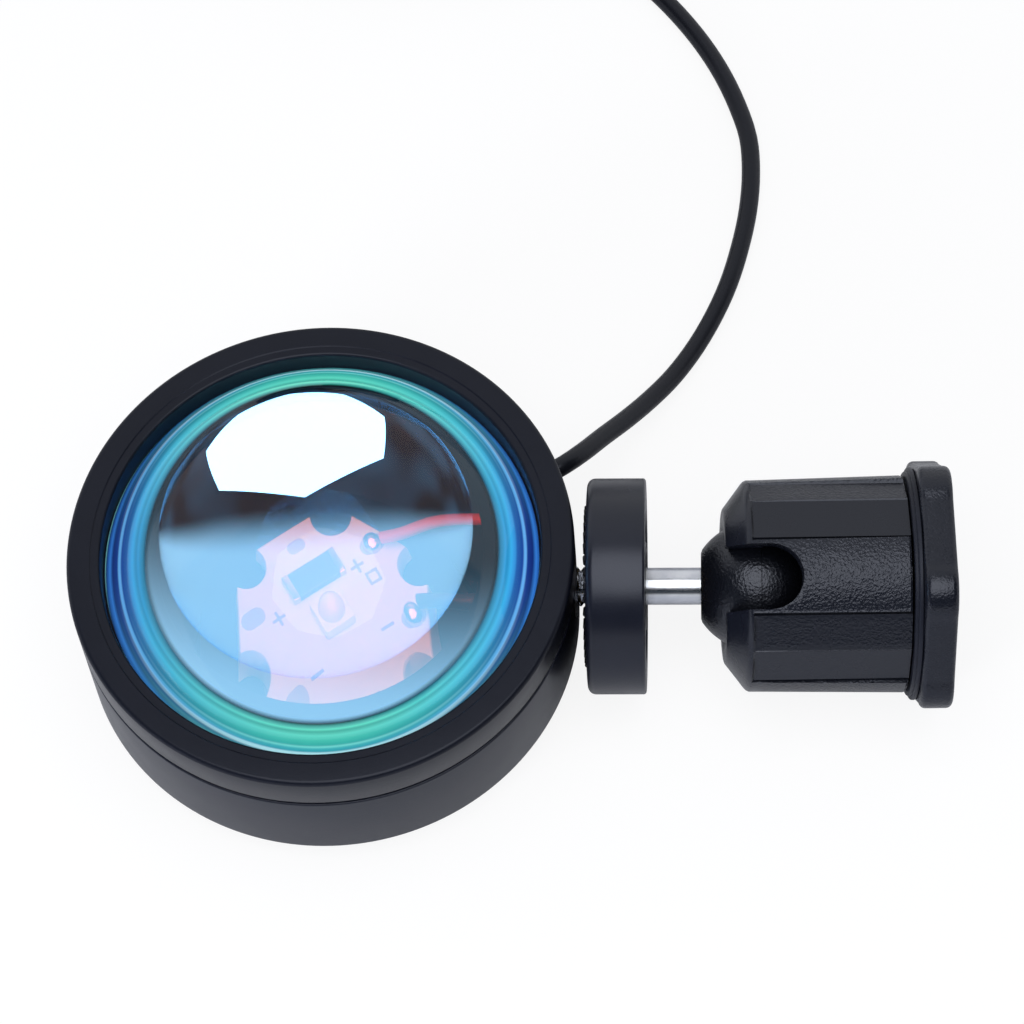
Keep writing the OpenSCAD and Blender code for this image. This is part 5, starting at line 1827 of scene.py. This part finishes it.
@dataclass
class Plug:
    """The USB plug: grip, ribbed strain relief, drawn shell, tongue and contacts."""

    centre: tuple[float, float, float] = (8.0, 182.125, 4.0)
    length: float = 22.0
    width: float = 15.6
    height: float = 8.0
    shell: float = 14.0
    mouth_high: float = 4.5
    mouth_wide: float = 12.0
    sheet: float = 0.3
    sunk: float = 6.0
    gap: float = 0.02

    def grip(self, at: Matrix) -> Object:
        """The grip with its notches, and the ribbed strain relief behind it.

        Args:
            at: the plug's place, with the cord along X.

        Returns:
            The handle.
        """
        half = self.length / 2
        body = Work("plug_grip", slab(self.height, self.width, 1.5, -half, half, 0.8))
        body.cut(slab(self.mouth_high + 2 * self.gap, self.mouth_wide + 2 * self.gap, 0.4,
                      half - self.sunk, half + 1, 0.02, 3))
        notch = slab(1.2, 9.0, 0.5, -0.5, 0.5, 0.2, 3)
        for x in (-4.5, -2.5, -0.5):
            for side in (1, -1):
                body.cut(notch.moved(slide(side * (self.height / 2 + 0.25), 0, x)))
        whole = Shape.taken(body.obj)
        relief: list[Flat] = [(1.66, -half - 10.0), (2.1, -half - 10.0)]
        for i in range(4):
            z = -half - 8.6 + 2.2 * i
            big = 2.2 + (self.height / 2 - 0.6 - 2.2) * (z + half + 10) / 11
            relief += [(big, z - 0.1), (big - 0.1, z), (2.0 + 0.25 * i, z + 0.05),
                       (2.0 + 0.25 * i, z + 0.95), (big + 0.1, z + 1.0), (big + 0.2, z + 1.1)]
        relief += [(3.4, -half + 1), (1.66, -half + 1)]
        whole.add(lathe(relief, 48, closed=True))
        return Work("plug_grip", whole).done(
            at @ ALONG_X, [SHEATH], "head", ["plug_handle"], "cord_black", 35)

    def mouth(self, at: Matrix) -> Object:
        """The drawn shell, with its two latch windows on each side.

        Args:
            at: the plug's place, with the cord along X.

        Returns:
            The shell.
        """
        half = self.length / 2
        long, start = self.shell + self.sunk - self.gap, half - self.sunk + self.gap
        outer = rounded(self.mouth_high, self.mouth_wide, 0.5, 4)
        inner = rounded(self.mouth_high - 2 * self.sheet, self.mouth_wide - 2 * self.sheet, 0.3, 4)
        rings = [[Vector((x, y, z)) for x, y in outer] for z in (start, start + long)]
        rings += [[Vector((x, y, z)) for x, y in inner] for z in (start + long, start + 0.05)]
        shell = Work("plug_mouth", close_rings(rings, loop=True))
        window = slab(10.0, 2.5, 0.15, half + 7.0, half + 9.5, 0.02, 2)
        for y in (-3, 3):
            shell.cut(window.moved(slide(0, y, 0)))
        return shell.done(at @ ALONG_X, [NICKEL], "head", ["plug_shell"], "usb_steel", 30)

    def inside(self, at: Matrix) -> list[Object]:
        """The tongue and the row of contacts on it.

        Args:
            at: the plug's place, with the cord along X.

        Returns:
            The two pieces.
        """
        half = self.length / 2
        reach, contact = self.shell + 4.4, self.shell - 3
        tongue = Work("plug_tongue_block", slab(reach, 11.2, 0.2, 0.1, 1.9, 0.1, 2)).done(
            at @ slide(half - 5 + self.gap + reach / 2, 0, 0), [PLUG_WHITE], "head",
            ["plug_tongue"], "usb_white")
        one = slab(1.0, contact, 0.1, -0.1, 0.08, 0.03, 2)
        row = Repeater(Layout.ROW, 4, 2.3333, -3.5).shape(one, GOLD)
        contacts = Work("plug_contact_row", row).done(
            at @ slide(half + 1 + contact / 2, 0, 0) @ spin(90), [GOLD], "head",
            ["plug_contacts"], "contact_gold")
        return [tongue, contacts]

    def build(self) -> list[Object]:
        """Makes the plug's four pieces."""
        at = slide(*self.centre)
        return [self.grip(at), self.mouth(at), *self.inside(at)]


# ---------- light, floor and camera

@dataclass
class Studio:
    """A pale floor, an eight-sided softbox overhead, a dark ceiling round it and a white room."""

    box_r: float = 0.49
    box_at: Flat = (-0.02, -0.23)
    box_height: float = 1.0
    box_turn: float = 9.5
    box_glow: float = 3.4
    box_watts: float = 4.9
    ceiling_height: float = 1.3
    ceiling_fade: Flat = (0.28, 0.50)
    side_watts: float = 5.0
    side_size: float = 0.3
    side_at: tuple[float, float, float] = (-0.55, -0.5, 0.16)
    side_aim: tuple[float, float, float] = (-0.03, 0.0, 0.01)
    side_colour: tuple[float, float, float] = (0.86, 0.9, 1.0)
    room: float = 0.5
    floor_half: float = 3.0
    floor_share: float = 0.82
    floor_glow: float = 1.06
    focal: float = 141.2
    eye: tuple[float, float, float] = (0.00067, -0.27531, 0.59662)
    eye_right: tuple[float, float, float] = (0.9999, -0.0132, -0.0065)
    eye_up: tuple[float, float, float] = (0.0147, 0.8955, 0.4449)

    def card(self, name: str, corners: Sequence[Vector],
             surface: Callable[[NodeTree], NodeSocket]) -> Object:
        """A flat card that lights or darkens what mirrors it.

        Args:
            name: the card's name.
            corners: its corners in metres.
            surface: the function that builds its shader.

        Returns:
            The card, unseen by the camera and by diffuse light.
        """
        mesh = bpy.data.meshes.new(name)
        mesh.from_pydata([tuple(c) for c in corners], [], [tuple(range(len(corners)))])
        mesh.materials.append(new_material(name, surface))
        obj = show(bpy.data.objects.new(name, mesh))
        obj.visible_camera = obj.visible_diffuse = False
        return obj

    def glow(self, tree: NodeTree) -> NodeSocket:
        """The softbox's even white."""
        return add_node(tree, "ShaderNodeEmission", {
            "Color": WHITE, "Strength": self.box_glow}).outputs[0]

    def softbox(self) -> None:
        """The eight-sided softbox overhead: a card that mirrors see, and a lamp for the rest."""
        middle = Vector((*self.box_at, self.box_height))
        corners = []
        for k in range(8):
            a = math.radians(self.box_turn) + TAU * k / 8
            corners.append(middle + self.box_r * Vector((math.cos(a), math.sin(a), 0)))
        self.card("softbox", corners, self.glow)
        self.panel("softbox lamp", 2 * self.box_r, self.box_watts, middle - Vector((0, 0, 0.01)))

    def panel(self, name: str, size: float, watts: float, place: Vector) -> Object:
        """A round lamp, facing down, that mirrors, glass and the camera don't see.

        Args:
            name: the lamp's name.
            size: its diameter in metres.
            watts: its power.
            place: where it hangs.

        Returns:
            The lamp.
        """
        data = bpy.data.lights.new(name, "AREA")
        data.shape, data.size, data.energy = "DISK", size, watts
        lamp = show(bpy.data.objects.new(name, data))
        lamp.location = place
        lamp.visible_glossy = lamp.visible_camera = lamp.visible_transmission = False
        return lamp

    def gloom(self, tree: NodeTree) -> NodeSocket:
        """Uneven dark that turns white toward the ceiling's far edge.

        Args:
            tree: the material's tree.

        Returns:
            The shader's output.
        """
        where = add_node(tree, "ShaderNodeTexCoord").outputs["Object"]
        part = add_node(tree, "ShaderNodeSeparateXYZ", {0: where})
        near, far = (share * self.ceiling_height for share in self.ceiling_fade)
        share = add_node(tree, "ShaderNodeMapRange", {0: part.outputs["Y"], 1: near, 2: far},
                         interpolation_type="SMOOTHSTEP")
        cloud = add_node(tree, "ShaderNodeTexNoise", {"Vector": where, "Scale": 1.6, "Detail": 1.0})
        dark = ramp(add_node(tree, "ShaderNodeValToRGB", {0: cloud.outputs[0]}), [
            (0.40, linear("171b21")), (0.62, linear("4a565f"))])
        shade = add_node(tree, "ShaderNodeMix", {
            0: share.outputs[0], 6: dark.outputs[0], 7: WHITE}, data_type="RGBA")
        return add_node(tree, "ShaderNodeEmission", {
            "Color": shade.outputs[2], "Strength": 1.0}).outputs[0]

    def ceiling(self) -> None:
        """The dark ceiling with a soft far edge, which only mirrors and glass see."""
        z, far = self.ceiling_height, self.ceiling_fade[1] * self.ceiling_height
        corners = [Vector((-4, -5, z)), Vector((4, -5, z)), Vector((4, far, z)),
                   Vector((-4, far, z))]
        self.card("dark_ceiling", corners, self.gloom).visible_shadow = False

    def side_light(self) -> None:
        """A small panel low at the left, which lights the head's side wall."""
        lamp = self.panel("side lamp", self.side_size, self.side_watts, Vector(self.side_at))
        lamp.data.color = self.side_colour
        lamp.rotation_euler = (Vector(self.side_aim) - lamp.location).to_track_quat(
            "-Z", "Y").to_euler()

    def paper(self, tree: NodeTree) -> NodeSocket:
        """White paper that glows a little to the camera and through glass.

        Args:
            tree: the material's tree.

        Returns:
            The shader's output.
        """
        paper = add_node(tree, "ShaderNodeBsdfDiffuse", {"Color": linear("e4e4e4")})
        glow = add_node(tree, "ShaderNodeEmission", {
            "Color": WHITE, "Strength": self.floor_glow})
        path = add_node(tree, "ShaderNodeLightPath")
        seen = add_node(tree, "ShaderNodeMath", {
            0: path.outputs["Is Camera Ray"], 1: path.outputs["Is Transmission Ray"]},
            operation="MAXIMUM")
        share = add_node(tree, "ShaderNodeMath", {0: seen.outputs[0], 1: self.floor_share},
                         operation="MULTIPLY")
        return add_node(tree, "ShaderNodeMixShader", {
            0: share.outputs[0], 1: paper.outputs[0], 2: glow.outputs[0]}).outputs[0]

    def floor(self) -> None:
        """The pale floor, which stays white to the camera and keeps the lamp's soft shadow."""
        mesh = bpy.data.meshes.new("floor")
        half = self.floor_half
        mesh.from_pydata([(-half, -half, 0), (half, -half, 0), (half, half, 0), (-half, half, 0)],
                         [], [(0, 1, 2, 3)])
        mesh.materials.append(new_material("white paper, coated", self.paper))
        obj = show(bpy.data.objects.new("floor", mesh))

    def world(self) -> None:
        """A white room to the camera, mirrors and glass, and a plain level of light on the rest."""
        world = bpy.data.worlds.new("studio")
        bpy.context.scene.world = world
        world.use_nodes = True
        tree = world.node_tree
        tree.nodes.clear()
        out = add_node(tree, "ShaderNodeOutputWorld")
        path = add_node(tree, "ShaderNodeLightPath")
        direct = add_node(tree, "ShaderNodeMath", {
            0: path.outputs["Is Camera Ray"], 1: path.outputs["Is Glossy Ray"]},
            operation="MAXIMUM")
        seen = add_node(tree, "ShaderNodeMath", {
            0: direct.outputs[0], 1: path.outputs["Is Transmission Ray"]}, operation="MAXIMUM")
        plain = add_node(tree, "ShaderNodeBackground", {
            "Color": linear("eef2ff"), "Strength": self.room})
        white = add_node(tree, "ShaderNodeBackground", {"Color": WHITE, "Strength": 1.0})
        mixed = add_node(tree, "ShaderNodeMixShader", {
            0: seen.outputs[0], 1: plain.outputs[0], 2: white.outputs[0]})
        tree.links.new(mixed.outputs[0], out.inputs[0])

    def camera(self) -> None:
        """The camera at the photograph's angle: above, from the front."""
        data = bpy.data.cameras.new("camera")
        data.lens, data.sensor_width = self.focal, 36.0
        data.clip_start = 0.01
        cam = show(bpy.data.objects.new("camera", data))
        right, up = Vector(self.eye_right), Vector(self.eye_up)
        back = right.cross(up).normalized()
        up = back.cross(right).normalized()
        turn = Matrix((right.normalized(), up, back)).transposed().to_4x4()
        cam.matrix_world = slide(*self.eye) @ turn
        bpy.context.scene.camera = cam

    def build(self) -> None:
        """Sets up the studio."""
        bpy.context.scene.view_settings.view_transform = "Standard"
        self.camera()
        self.floor()
        self.softbox()
        self.ceiling()
        self.side_light()
        self.world()


def main() -> None:
    """Builds the studio and each group of pieces in turn, and notes the sizes."""
    logging.basicConfig(level=logging.INFO, format="%(name)s: %(message)s")
    Studio().build()
    cord = Cord()
    on_cord = Switch().build() + Plug().build() + [cord.strap()]
    cord.build(on_cord)
    cord.grommet()
    Head().build()
    LightSource().build()
    dress_kept_nodes()
    Mount().build()
    Sleeve().build()
    Base().build()


if __name__ == "__main__":
    main()
